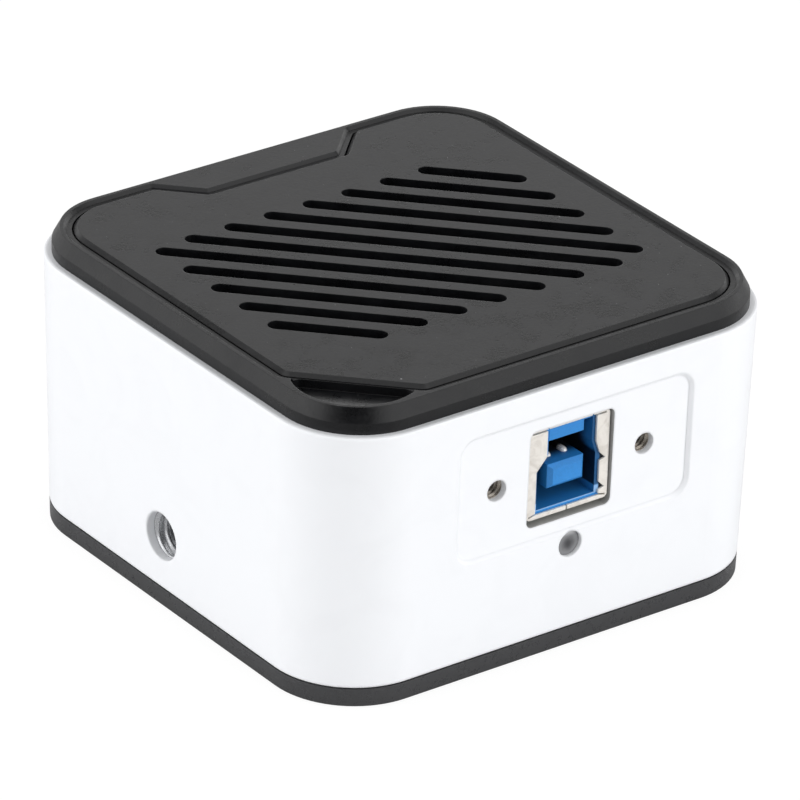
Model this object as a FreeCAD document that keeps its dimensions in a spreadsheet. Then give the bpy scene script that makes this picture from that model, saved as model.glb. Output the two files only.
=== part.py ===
import FreeCAD, Part
import Sketcher
import math
import os
import re

# A microscope camera: a white case between a black base plate and a black vented cover.
# Lengths are millimetres. Z is up, the origin is the middle of the underside, the data port faces -Y
# and the tripod thread faces -X.

SIZES = {
    # case outside
    "body_width": 70.0,
    "corner_radius": 11.4,
    "wall_slope": 0.0186,
    "base_height": 2.67,
    "housing_height": 34.55,
    "wall": 2.4,
    "ledge_width": 0.97,
    "ledge_round": 0.35,
    "base_bevel": 0.1,
    "seam_height": 0.22,
    "seam_depth": 0.35,
    # cover
    "cover_wall": 1.47,
    "cover_bevel_width": 0.96,
    "cover_bevel_height": 1.8,
    "rim_width": 0.5,
    "groove_depth": 0.5,
    "groove_bevel": 0.42,
    "groove_floor": 0.85,
    "plug_depth": 2.2,
    "plug_clearance": 0.25,
    "window_margin": 0.9,
    "window_round": 2.0,
    # vent panel
    "panel_thickness": 1.8,
    "panel_gap": 0.2,
    "panel_bevel": 0.5,
    "corner_cut": 12.2,
    "cut_round": 1.8,
    "notch_half": 10.55,
    "notch_depth": 5.1,
    "notch_round": 0.9,
    "vent_side_margin": 5.85,
    "vent_end_margin": 13.58,
    "vent_shift": 0.32,
    "slot_width": 2.3,
    "slot_corner": 10.2,
    "peg_radius": 1.5,
    "peg_length": 2.2,
    "peg_clearance": 0.2,
    "peg_spacing": 24.0,
    # pry scoop in the cover's corner
    "scoop_radius": 8.1,
    "scoop_gap": 0.3,
    "scoop_reach": 6.75,
    "scoop_depth": 1.65,
    "scoop_lip": 0.45,
    "scoop_round": 1.2,
    # case screws and the columns that they pass through
    "column_margin": 4.26,
    "column_radius": 4.8,
    "screw_radius": 1.5,
    "screw_clearance": 0.15,
    "screw_head_radius": 2.8,
    "screw_head_height": 1.3,
    "screw_tip": 0.6,
    "driver_radius": 1.1,
    "driver_depth": 0.8,
    # data port opening in the housing
    "port_offset": 1.15,
    "port_width": 12.4,
    "port_height": 12.25,
    "port_axis": 6.0,
    "port_depth": 16.5,
    "port_setback": 0.88,
    "port_back_gap": 0.5,
    "opening_shift": 0.08,
    "opening_margin": 0.23,
    "opening_rise": 0.2,
    "opening_drop": 0.85,
    "opening_round": 0.9,
    "recess_width": 34.95,
    "recess_height": 16.75,
    "recess_shift": 0.54,
    "recess_drop": 0.2,
    "recess_depth": 0.48,
    "recess_land": 0.05,
    "recess_round": 2.2,
    "port_screw_radius": 1.42,
    "port_screw_spacing": 22.6,
    "port_screw_shift": 0.1,
    "port_screw_depth": 6.0,
    "port_boss_radius": 3.1,
    # data port pieces
    "shell_sheet": 0.32,
    "shell_round": 0.6,
    "shell_fit": 0.06,
    "lip_height": 0.55,
    "top_lip_height": 0.3,
    "mouth_low_half": 4.85,
    "mouth_high_half": 3.77,
    "neck_shift": 0.47,
    "mouth_step": 5.9,
    "mouth_slant": 1.75,
    "mouth_rim": 0.4,
    "seam_slit": 0.22,
    "lip_seam_place": 3.39,
    "beak_reach": 0.86,
    "beak_root": 1.12,
    "beak_rise": 1.85,
    "cavity_depth": 9.0,
    "tongue_width": 5.5,
    "tongue_height": 3.25,
    "tongue_rise": 2.85,
    "tongue_setback": 0.1,
    "tongue_bevel": 0.55,
    "upper_tongue_width": 5.3,
    "upper_tongue_height": 1.62,
    "upper_tongue_setback": 0.6,
    "contact_width": 1.0,
    "contact_thickness": 0.3,
    "contact_length": 5.5,
    "contact_spacing": 2.5,
    "contact_setback": 2.1,
    "fine_contact_width": 0.6,
    "fine_contact_thickness": 0.2,
    "fine_contact_spacing": 1.1,
    # status light
    "light_offset": 0.27,
    "light_drop": 3.0,
    "pipe_radius": 1.68,
    "pipe_clearance": 0.05,
    "pipe_setback": 0.5,
    "pipe_gap": 0.2,
    "pipe_mouth_bevel": 0.05,
    "light_width": 3.4,
    "light_depth": 2.6,
    # tripod thread
    "tripod_radius": 3.175,
    "tripod_depth": 8.0,
    "tripod_sink": 0.1,
    "tripod_height": 9.7,
    "tripod_offset": 1.5,
    "tripod_boss_radius": 5.8,
    "tripod_boss_end": 1.6,
    # lens mount in the base plate
    "mount_radius": 12.7,
    "mount_depth": 5.0,
    "mount_bevel": 0.5,
    "shelf_thickness": 1.0,
    "light_hole_radius": 9.0,
    "mount_boss_wall": 2.4,
    "flange_distance": 17.526,
    # colour filter in the mount
    "filter_radius": 10.5,
    "filter_thickness": 1.1,
    "filter_clearance": 0.1,
    "seal_thickness": 0.4,
    "retainer_height": 1.5,
    "retainer_wall": 1.3,
    # image sensor
    "sensor_length": 15.0,
    "sensor_width": 13.0,
    "sensor_depth": 0.6,
    "sensor_margin": 2.0,
    "sensor_glass_thickness": 0.5,
    "sensor_glass_margin": 1.0,
    "hood_gap": 0.7,
    "hood_wall": 1.3,
    # circuit boards
    "board_height": 17.3,
    "board_thickness": 1.6,
    "board_clearance": 0.5,
    "board_hole_clearance": 0.5,
    "sensor_board_thickness": 1.2,
    "stack_gap": 1.05,
    "strip_length": 18.0,
    "strip_width": 2.4,
    "strip_inset": 1.7,
    "spacer_radius": 1.9,
    "spacer_inset": 2.3,
    "standoff_radius": 2.75,
    "spigot_radius": 1.9,
    "spigot_length": 1.5,
    "spigot_clearance": 0.05,
    "standoff_inset_x": 3.6,
    "standoff_inset_y": 4.6,
    "small_screw_radius": 1.0,
    "small_screw_clearance": 0.1,
    "small_head_radius": 1.8,
    "small_head_height": 1.2,
    "small_screw_bite": 4.0,
    # chips and other parts on the boards
    "processor_width": 15.0,
    "processor_height": 1.4,
    "memory_clearance": 1.5,
    "memory_edge": 0.9,
    "memory_height": 1.0,
    "memory_gap": 2.4,
    "controller_width": 7.0,
    "controller_height": 0.9,
    "controller_gap": 1.0,
    "coil_width": 5.0,
    "coil_height": 2.8,
    "capacitor_radius": 1.7,
    "capacitor_height": 3.6,
    "front_parts_inset": 8.5,
    "part_spacing": 6.2,
    # heat spreader
    "pad_thickness": 0.8,
    "pad_margin": 0.5,
    "spreader_inset": 0.1,
    "spreader_front_inset": 3.9,
    "spreader_back_inset": 7.7,
    "spreader_thickness": 2.0,
    "fin_thickness": 1.2,
    "fin_edge": 2.8,
    "fin_margin": 4.6,
    "fin_headroom": 1.0,
    "post_radius": 1.7,
    "post_inset": 2.0,
}

# Sizes and places that follow from the driving ones
DERIVED = {
    "ledge_z": "base_height + housing_height",
    "bevel_z": "ledge_z + cover_wall",
    "top_z": "bevel_z + cover_bevel_height",
    "seat_z": "top_z - panel_thickness",
    "plug_z": "ledge_z - plug_depth",
    "cover_half": "body_width / 2 - ledge_width",
    "groove_half": "cover_half - cover_bevel_width - rim_width - groove_bevel",
    "panel_half": "groove_half - groove_floor",
    "panel_diagonal": "(2 * panel_half - corner_cut) / sqrt(2)",
    "plug_half": "body_width / 2 - wall - wall_slope * plug_depth - plug_clearance",
    "vent_half_x": "panel_half - vent_side_margin",
    "vent_half_y": "panel_half - vent_end_margin",
    "window_x": "vent_half_x + window_margin",
    "window_y": "vent_half_y + window_margin",
    "peg_x": "panel_half - (vent_side_margin - window_margin) / 2",
    "column_place": "body_width / 2 - (1 - 1 / sqrt(2)) * corner_radius - column_margin",
    "screw_top": "ledge_z + screw_tip",
    "board_top": "board_height + board_thickness",
    "port_z": "board_top + port_axis",
    "opening_low": "board_top - opening_drop",
    "opening_high": "board_top + port_height + opening_rise",
    "port_wall": "body_width / 2 - wall_slope * (ledge_z - port_z)",
    "port_face": "port_wall - port_setback",
    "wall_foot": "body_width / 2 - wall_slope * ledge_z",
    "light_x": "port_offset + light_offset",
    "light_z": "board_height - light_drop",
    "light_wall": "body_width / 2 - wall_slope * (ledge_z - light_z)",
    "tripod_wall": "body_width / 2 - wall_slope * (ledge_z - tripod_height)",
    "shelf_z": "mount_depth",
    "seal_z": "shelf_z + shelf_thickness",
    "filter_z": "seal_z + seal_thickness",
    "retainer_z": "filter_z + filter_thickness",
    "boss_top": "retainer_z + retainer_height",
    "boss_radius": "mount_radius + mount_boss_wall",
    "sensor_face": "flange_distance - sensor_depth",
    "sensor_board_z": "board_top + stack_gap",
    "sensor_board_top": "sensor_board_z + sensor_board_thickness",
    "sensor_board_half": "port_face - port_depth - port_back_gap",
    "hood_half_x": "sensor_length / 2 + hood_gap",
    "hood_half_y": "sensor_width / 2 + hood_gap",
    "board_half_x": "column_place - column_radius - board_clearance",
    "board_half_y": "body_width / 2 - wall_slope * (ledge_z - board_height) - wall - board_clearance",
    "standoff_x": "board_half_x - standoff_inset_x",
    "standoff_y": "board_half_y - standoff_inset_y",
    "strip_x": "sensor_board_half - strip_inset",
    "spacer_place": "sensor_board_half - spacer_inset",
    "memory_length": "spacer_place - spacer_radius - memory_clearance - memory_gap / 2",
    "memory_width": "sensor_board_half - memory_edge - processor_width / 2 - pad_margin",
    "pad_z": "sensor_board_top + processor_height",
    "spreader_z": "pad_z + pad_thickness",
    "spreader_half_x": "board_half_x - spreader_inset",
    "spreader_low": "sensor_board_half - spreader_front_inset",
    "spreader_high": "board_half_y - spreader_back_inset",
    "fin_z": "spreader_z + spreader_thickness",
    "fin_top": "plug_z - fin_headroom",
    "mouth_floor": "board_top + lip_height",
    "mouth_shoulder": "mouth_floor + mouth_step",
    "mouth_neck": "mouth_shoulder + mouth_slant",
    "mouth_roof": "board_top + port_height - top_lip_height",
    "cavity_face": "port_face - shell_sheet - shell_fit",
    "tongue_z": "mouth_floor + tongue_rise",
}

SLOT_COUNT = 12
FIN_COUNT = 9
FINE_CONTACT_COUNT = 5
CAPACITOR_COUNT = 3
SIGNS = ((1, 1), (-1, 1), (-1, -1), (1, -1))
# How far a cutting solid runs past the face that it opens
PAST = "1"
# How closely an edge has to lie to a place to be taken as being there
NEAR = 1e-4

doc = FreeCAD.newDocument("microscope_camera")
sheet = doc.addObject("Spreadsheet::Sheet", "sizes")
for row, (alias, size) in enumerate(SIZES.items(), 1):
    sheet.set(f"A{row}", alias)
    sheet.set(f"B{row}", str(size))
    sheet.setAlias(f"B{row}", alias)
doc.recompute()
pieces = []

TURNS = {
    "x": FreeCAD.Rotation(FreeCAD.Vector(0, 1, 0), 90),
    "y": FreeCAD.Rotation(FreeCAD.Vector(1, 0, 0), -90),
    "z": FreeCAD.Rotation(),
}


# Helpers: formulas and binding

def formula(text):
    """The text with each size name turned into a reference to its cell."""
    def reference(match):
        name = match.group()
        if name in DERIVED:
            return f"({formula(DERIVED[name])})"
        if name in SIZES:
            return f"sizes.{name}"
        return name
    return re.sub(r"[a-z][a-z_]*", reference, str(text))


def number(text):
    """The value of a formula in the sheet as it stands."""
    return float(sheet.evalExpression(formula(text)))


def bind(item, **formulas):
    for name, text in formulas.items():
        item.setExpression(name, formula(text))


def place(item, x, y, z, turn=None):
    """Put an item at formulas x, y and z, turned by a fixed rotation."""
    if turn is not None:
        item.Placement = FreeCAD.Placement(FreeCAD.Vector(), turn)
    for axis, text in zip("xyz", (x, y, z)):
        item.setExpression(f"Placement.Base.{axis}", formula(text))


def finish(item, label):
    """Name an item as a finished piece."""
    item.Label = label
    pieces.append(item)
    return item


# Helpers: features inside one body

def body_named(label):
    return doc.addObject("PartDesign::Body", f"{label}_body")


def feature(body, kind, name):
    return body.newObject(f"PartDesign::{kind}", f"{body.Name}_{name}")


def box(body, kind, name, low, high):
    """Add or cut a box between two corners, each given as three formulas."""
    item = feature(body, f"{kind}Box", name)
    spans = [f"({b}) - ({a})" for a, b in zip(low, high)]
    bind(item, Length=spans[0], Width=spans[1], Height=spans[2])
    place(item, *low)
    return item


def cylinder(body, kind, name, radius, at, length, axis="z"):
    """Add or cut a cylinder that starts at a point and runs along +axis."""
    item = feature(body, f"{kind}Cylinder", name)
    bind(item, Radius=radius, Height=length)
    place(item, *at, turn=TURNS[axis])
    return item


def cone(body, kind, name, first_radius, last_radius, at, length, axis="z"):
    """Add or cut a cone from its first radius to its last one along +axis."""
    item = feature(body, f"{kind}Cone", name)
    bind(item, Radius1=first_radius, Radius2=last_radius, Height=length)
    place(item, *at, turn=TURNS[axis])
    return item


def frustum(body, kind, name, low_z, high_z, low_half, high_half):
    """A square block whose half width changes evenly from its low face to its high one."""
    item = feature(body, f"{kind}Wedge", name)
    bind(item, Ymin=low_z, Ymax=high_z)
    bind(item, Xmin=f"-({low_half})", Xmax=low_half, Zmin=f"-({low_half})", Zmax=low_half)
    bind(item, X2min=f"-({high_half})", X2max=high_half, Z2min=f"-({high_half})", Z2max=high_half)
    item.Placement = FreeCAD.Placement(FreeCAD.Vector(), FreeCAD.Rotation(FreeCAD.Vector(1, 0, 0), 90))
    return item


def wall_half(height, inset="0"):
    """Half the width of the leaning wall at a height, less an inset."""
    return f"body_width / 2 - wall_slope * (ledge_z - ({height})) - ({inset})"


def sketch_on(body, name, plane, lift):
    """A sketch on one of the body's origin planes, lifted along the plane's normal."""
    sketch = body.newObject("Sketcher::SketchObject", f"{body.Name}_{name}")
    origin_plane = [item for item in body.Origin.OriginFeatures if item.Role == plane][0]
    sketch.AttachmentSupport = (origin_plane, [""])
    sketch.MapMode = "FlatFace"
    sketch.setExpression("AttachmentOffset.Base.z", formula(lift))
    return sketch


def measure(sketch, kind, *target, text):
    """Fix a distance from the sketch's origin, or a radius, to a formula."""
    start = (-1, 1) if kind.startswith("Distance") else ()
    index = sketch.addConstraint(Sketcher.Constraint(kind, *start, *target, number(text)))
    sketch.setExpression(f"Constraints[{index}]", formula(text))


def corner_arc(before, corner, after, radius):
    """Where a rounded corner starts, its middle and where it ends."""
    back = (before - corner).normalize()
    ahead = (after - corner).normalize()
    half_angle = back.getAngle(ahead) / 2
    reach = radius / math.tan(half_angle)
    inward = (back + ahead).normalize()
    middle = corner + inward * (radius / math.sin(half_angle) - radius)
    return corner + back * reach, middle, corner + ahead * reach


def polygon(body, name, points, plane="XY_Plane", lift="0", rounds=None):
    """A closed outline through points, each two formulas, with a rounding formula for each corner or none."""
    sketch = sketch_on(body, name, plane, lift)
    rounds = rounds or [None] * len(points)
    count = len(points)
    corners = [FreeCAD.Vector(number(x), number(y), 0) for x, y in points]
    arcs = []
    for index, radius in enumerate(rounds):
        around = corners[index - 1], corners[index], corners[(index + 1) % count]
        arcs.append(corner_arc(*around, number(radius)) if radius else (around[1],) * 3)
    for index in range(count):
        sketch.addGeometry(Part.LineSegment(arcs[index][2], arcs[(index + 1) % count][0]))
    for index, (x, y) in enumerate(points):
        before = (index - 1) % count
        if not rounds[index]:
            sketch.addConstraint(Sketcher.Constraint("Coincident", before, 2, index, 1))
            measure(sketch, "DistanceX", index, 1, text=x)
            measure(sketch, "DistanceY", index, 1, text=y)
            continue
        tip = sketch.addGeometry(Part.Point(corners[index]), True)
        measure(sketch, "DistanceX", tip, 1, text=x)
        measure(sketch, "DistanceY", tip, 1, text=y)
        sketch.addConstraint(Sketcher.Constraint("PointOnObject", tip, 1, before))
        sketch.addConstraint(Sketcher.Constraint("PointOnObject", tip, 1, index))
        arc = sketch.addGeometry(Part.Arc(*arcs[index]))
        starts = (sketch.getPoint(arc, 1) - arcs[index][0]).Length < NEAR
        sketch.addConstraint(Sketcher.Constraint("Tangent", before, 2, arc, 1 if starts else 2))
        sketch.addConstraint(Sketcher.Constraint("Tangent", index, 1, arc, 2 if starts else 1))
        measure(sketch, "Radius", arc, text=rounds[index])
    return sketch


def pad(body, name, sketch, length):
    item = feature(body, "Pad", name)
    item.Profile = sketch
    bind(item, Length=length)
    return item


def pocket(body, name, sketch, length):
    item = feature(body, "Pocket", name)
    item.Profile = sketch
    bind(item, Length=length)
    return item


def dress(body, kind, name, size, chosen, **more):
    """Round or bevel the edges of the body so far for which chosen(edge) is true."""
    doc.recompute()
    base = body.Tip
    names = [f"Edge{i}" for i, edge in enumerate(base.Shape.Edges, 1) if chosen(edge)]
    item = feature(body, kind, name)
    item.Base = (base, names)
    bind(item, **{"Radius" if kind == "Fillet" else "Size": size}, **more)
    return item


def upright_at(points, low="-1000", high="1000"):
    """A test for edges that stand near the given corners, between two heights."""
    spots = [(number(x), number(y)) for x, y in points]
    bottom, top = number(low) - NEAR, number(high) + NEAR

    def chosen(edge):
        box_of_edge = edge.BoundBox
        if len(edge.Vertexes) < 2 or box_of_edge.ZLength < 10 * NEAR:
            return False
        if box_of_edge.ZMin < bottom or box_of_edge.ZMax > top:
            return False
        lean = max(box_of_edge.XLength, box_of_edge.YLength)
        middle = box_of_edge.Center
        return any(abs(middle.x - x) + abs(middle.y - y) <= lean + 10 * NEAR for x, y in spots)
    return chosen


def level_at(height, inside=None):
    """A test for edges that lie at a height, within a half width where one is given."""
    level = number(height)
    limit = None if inside is None else number(inside) + NEAR

    def chosen(edge):
        span = edge.BoundBox
        if abs(span.ZMin - level) > NEAR or abs(span.ZMax - level) > NEAR:
            return False
        return limit is None or max(abs(span.XMin), abs(span.XMax), abs(span.YMin), abs(span.YMax)) <= limit
    return chosen


def rectangle(centre_x, centre_y, half_x, half_y):
    """The corners of a rectangle, in order."""
    return [(f"{centre_x} + {sx} * ({half_x})", f"{centre_y} + {sy} * ({half_y})") for sx, sy in SIGNS]


def square(half):
    return rectangle("0", "0", half, half)


# Helpers: single solids and groups outside a body

def primitive(kind, name, at, turn=None, **sizes):
    item = doc.addObject(f"Part::{kind}", name)
    bind(item, **sizes)
    place(item, *at, turn=turn)
    return item


def block(name, size, centre, base_z):
    """A box of three formulas, centred on two and standing at a height."""
    at = [f"({c}) - ({s}) / 2" for c, s in zip(centre, size)]
    return primitive("Box", name, (*at, base_z), Length=size[0], Width=size[1], Height=size[2])


def drum(name, radius, height, centre, base_z):
    return primitive("Cylinder", name, (*centre, base_z), Radius=radius, Height=height)


def fused(name, items):
    item = doc.addObject("Part::MultiFuse", name)
    item.Shapes = items
    return item


def cut(name, base, tool):
    item = doc.addObject("Part::Cut", name)
    item.Base = base
    item.Tool = tool
    return item


def group(label, items):
    """Separate solids of one kind, kept together as one piece."""
    item = doc.addObject("Part::Compound", f"{label}_group")
    item.Links = items
    return finish(item, label)


def tube(name, outer, inner, height, centre, base_z):
    """A plain ring or sleeve."""
    core = primitive("Cylinder", f"{name}_core", (*centre, f"({base_z}) - {PAST}"), Radius=inner,
                     Height=f"({height}) + 2 * {PAST}")
    return cut(name, drum(f"{name}_outer", outer, height, centre, base_z), core)


def four(x, y):
    return [(f"{sx} * ({x})", f"{sy} * ({y})") for sx, sy in SIGNS]


# The case: housing, base plate, cover frame and vent panel

def make_housing():
    body = body_named("housing")
    frustum(body, "Additive", "outside", "base_height", "ledge_z", wall_half("base_height"),
            wall_half("ledge_z"))
    low = f"base_height - {PAST}"
    high = f"ledge_z + {PAST}"
    inner_corners = square(wall_half("(base_height + ledge_z) / 2", "wall"))
    frustum(body, "Subtractive", "inside", low, high, wall_half(low, "wall"), wall_half(high, "wall"))
    dress(body, "Fillet", "inner_corners", "corner_radius - wall", upright_at(inner_corners))
    corners = square(wall_half("(base_height + ledge_z) / 2"))
    dress(body, "Fillet", "corners", "corner_radius", upright_at(corners))
    dress(body, "Fillet", "ledge_edge", "ledge_round", outer_ledge_edge)
    for index, (x, y) in enumerate(four("column_place", "column_place")):
        cylinder(body, "Additive", f"column_{index}", "column_radius", (x, y, "base_height"),
                 "plug_z - base_height")
        cylinder(body, "Subtractive", f"column_hole_{index}", "screw_radius + screw_clearance",
                 (x, y, f"base_height - {PAST}"), f"plug_z - base_height + 2 * {PAST}")
    add_tripod_hole(body)
    add_port_openings(body)
    return finish(body, "housing")


def outer_ledge_edge(edge):
    """True for the ledge's outer edges."""
    span = edge.BoundBox
    reach = max(abs(span.XMin), abs(span.XMax), abs(span.YMin), abs(span.YMax))
    level = abs(span.ZMin - number("ledge_z")) < NEAR and abs(span.ZMax - number("ledge_z")) < NEAR
    return level and reach > number(wall_half("ledge_z", "wall / 2"))


def add_tripod_hole(body):
    """A boss inside the -X wall with a blind hole and a bevelled mouth."""
    spot = ("tripod_offset", "tripod_height")
    cylinder(body, "Additive", "tripod_boss", "tripod_boss_radius", ("-(tripod_wall - wall / 2)", *spot),
             "tripod_depth + tripod_boss_end - wall / 2", axis="x")
    cylinder(body, "Subtractive", "tripod_hole", "tripod_radius", (f"-(tripod_wall + {PAST})", *spot),
             f"tripod_depth + {PAST}", axis="x")
    cone(body, "Subtractive", "tripod_sink", f"tripod_radius + tripod_sink + {PAST}", "tripod_radius",
         (f"-(tripod_wall + {PAST})", *spot), f"tripod_sink + {PAST}", axis="x")


def add_port_openings(body):
    """The recess on the -Y wall with the port opening, its two screw holes and the light's hole."""
    places = [f"port_offset + port_screw_shift + {side} * port_screw_spacing / 2" for side in (-1, 1)]
    for side, x in zip("ab", places):
        cylinder(body, "Additive", f"port_boss_{side}", "port_boss_radius",
                 (x, "-(port_wall - wall / 2)", "port_z"),
                 "port_screw_depth - wall / 2", axis="y")
    recess = rectangle("port_offset + recess_shift", "port_z - recess_drop", "recess_width / 2",
                       "recess_height / 2")
    outline = polygon(body, "recess_outline", recess, "XZ_Plane", f"wall_foot + {PAST}", ["recess_round"] * 4)
    leaning = FreeCAD.Rotation(FreeCAD.Vector(1, 0, 0), 1)
    outline.AttachmentOffset = FreeCAD.Placement(outline.AttachmentOffset.Base, leaning)
    outline.setExpression("AttachmentOffset.Rotation.Angle", formula("atan(wall_slope)"))
    pocket(body, "recess", outline, f"recess_depth + {PAST}")
    dress(body, "Chamfer", "recess_edge", "recess_depth - recess_land", recess_rim_edge)
    mouth = rectangle("port_offset + opening_shift", "(opening_low + opening_high) / 2",
                      "port_width / 2 + opening_margin", "(opening_high - opening_low) / 2")
    outline = polygon(body, "opening_outline", mouth, "XZ_Plane", f"port_wall + {PAST}",
                      ["opening_round"] * 4)
    pocket(body, "opening", outline, f"wall + 2 * {PAST}")
    for side, x in zip("ab", places):
        cylinder(body, "Subtractive", f"port_screw_{side}", "port_screw_radius",
                 (x, f"-(port_wall + {PAST})", "port_z"), f"port_screw_depth + 2 * {PAST}", axis="y")
    spot = ("light_x", f"-(light_wall + {PAST})", "light_z")
    cylinder(body, "Subtractive", "light_hole", "pipe_radius + pipe_clearance", spot,
             f"wall + 3 * {PAST}", axis="y")
    cone(body, "Subtractive", "light_mouth", f"pipe_radius + pipe_clearance + pipe_mouth_bevel + {PAST}",
         "pipe_radius + pipe_clearance", spot, f"pipe_mouth_bevel + {PAST}", axis="y")


def recess_rim_edge(edge):
    """True for the edges where the port recess breaks the outside of the wall."""
    span = edge.BoundBox
    middle = number("port_offset + recess_shift")
    beside = max(abs(span.XMin - middle), abs(span.XMax - middle))
    beyond = max(abs(span.ZMin - number("port_z")), abs(span.ZMax - number("port_z")))
    if beside > number("recess_width / 2") + NEAR:
        return False
    if beyond > number("recess_height / 2 + recess_drop") + NEAR * 100:
        return False
    return all(abs(corner.Y + number(wall_half(corner.Z))) < NEAR for corner in edge.Vertexes)


def make_base_plate():
    body = body_named("base_plate")
    seam_z = "base_height - seam_height"
    inset = wall_half("base_height", "seam_depth")
    step = polygon(body, "step_outline", square(inset), lift=f"({seam_z}) / 2",
                   rounds=["corner_radius - seam_depth"] * 4)
    pad(body, "step", step, f"base_height - ({seam_z}) / 2")
    frustum(body, "Additive", "plate", "0", seam_z, wall_half("0"), wall_half(seam_z))
    dress(body, "Fillet", "corners", "corner_radius",
          upright_at(square(wall_half(f"({seam_z}) / 2")), high=seam_z))
    dress(body, "Chamfer", "foot_edge", "base_bevel", level_at("0"))
    cylinder(body, "Additive", "mount_boss", "boss_radius", ("0", "0", "base_height / 2"),
             "boss_top - base_height / 2")
    cylinder(body, "Subtractive", "mount_bore", "mount_radius", ("0", "0", f"-{PAST}"),
             f"mount_depth + {PAST}")
    cone(body, "Subtractive", "mount_mouth", f"mount_radius + mount_bevel + {PAST}", "mount_radius",
         ("0", "0", f"-{PAST}"), f"mount_bevel + {PAST}")
    cylinder(body, "Subtractive", "light_hole", "light_hole_radius", ("0", "0", "shelf_z / 2"), "boss_top")
    cylinder(body, "Subtractive", "filter_bore", "filter_radius + filter_clearance",
             ("0", "0", "seal_z"), "boss_top")
    for index, (x, y) in enumerate(four("column_place", "column_place")):
        cylinder(body, "Subtractive", f"screw_hole_{index}", "screw_radius + screw_clearance",
                 (x, y, f"-{PAST}"),
                 f"base_height + 2 * {PAST}")
        cone(body, "Subtractive", f"screw_sink_{index}",
             "screw_head_radius + screw_clearance", "screw_radius + screw_clearance",
             (x, y, "0"), "screw_head_height + screw_clearance")
    for index, (x, y) in enumerate(four("standoff_x", "standoff_y")):
        cylinder(body, "Subtractive", f"standoff_hole_{index}", "spigot_radius + spigot_clearance",
                 (x, y, "base_height - spigot_length"), f"spigot_length + {PAST}")
    return finish(body, "base_plate")


def panel_outline(body, name, offset, lift):
    """The vent panel's outline moved out by an offset: a square with one corner cut and one edge notched."""
    half = f"(panel_half + ({offset}))"
    cut_length = f"(corner_cut + ({offset}) * (2 - sqrt(2)))"
    tip = f"(notch_half - ({offset}) * (sqrt(2) - 1))"
    foot = f"({tip} + notch_depth)"
    depth = f"({half} - notch_depth)"
    corner = f"corner_radius + {half} - body_width / 2"
    points = [(half, f"-{half}"), (half, half), (foot, half), (tip, depth), (f"-{tip}", depth),
              (f"-{foot}", half),
              (f"-{half}", half), (f"-{half}", f"{cut_length} - {half}"),
              (f"{cut_length} - {half}", f"-{half}")]
    rounds = [corner, corner, *["notch_round"] * 4, corner, "cut_round", "cut_round"]
    return polygon(body, name, points, lift=lift, rounds=rounds)


def make_top_frame():
    body = body_named("top_frame")
    rim = polygon(body, "rim_outline", square("cover_half"), lift="ledge_z",
                  rounds=["corner_radius - ledge_width"] * 4)
    pad(body, "rim", rim, "top_z - ledge_z")
    bevel = dress(body, "Chamfer", "rim_bevel", "cover_bevel_width", level_at("top_z"),
                  Size2="cover_bevel_height")
    bevel.ChamferType = "Two distances"
    doc.recompute()
    spans = [face.BoundBox for face in bevel.Shape.Faces]
    flat = max(span.XMax for span in spans if span.ZMin > number("top_z") - NEAR)
    bevel.FlipDirection = abs(flat - number("cover_half - cover_bevel_width")) > NEAR
    plug = polygon(body, "plug_outline", square("plug_half"), lift="plug_z",
                   rounds=["plug_half + corner_radius - body_width / 2"] * 4)
    pad(body, "plug", plug, "bevel_z - plug_z")
    above = f"top_z + {PAST}"
    groove = panel_outline(body, "groove_outline", "groove_floor", above)
    pocket(body, "groove", groove, f"groove_depth + {PAST}")
    dress(body, "Chamfer", "groove_bevel", "groove_bevel", level_at("top_z", "groove_half"))
    seat = panel_outline(body, "seat_outline", "panel_gap", above)
    pocket(body, "seat", seat, f"panel_thickness + {PAST}")
    field = rectangle("0", "-(vent_shift)", "window_x", "window_y")
    window = polygon(body, "window_outline", field, lift=above, rounds=["window_round"] * 4)
    pocket(body, "window", window, f"top_z - plug_z + 2 * {PAST}")
    for index, (x, y) in enumerate(four("peg_x", "peg_spacing / 2")):
        cylinder(body, "Subtractive", f"peg_hole_{index}", "peg_radius + peg_clearance",
                 (x, y, f"plug_z - {PAST}"),
                 f"top_z - plug_z + {PAST}")
    for index, (x, y) in enumerate(four("column_place", "column_place")):
        cylinder(body, "Subtractive", f"screw_hole_{index}", "screw_radius + screw_clearance / 3",
                 (x, y, f"plug_z - {PAST}"), f"screw_top - plug_z + {PAST} + screw_clearance")
    return finish(cut("top_frame_cut", body, make_scoop()), "top_frame")


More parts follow.
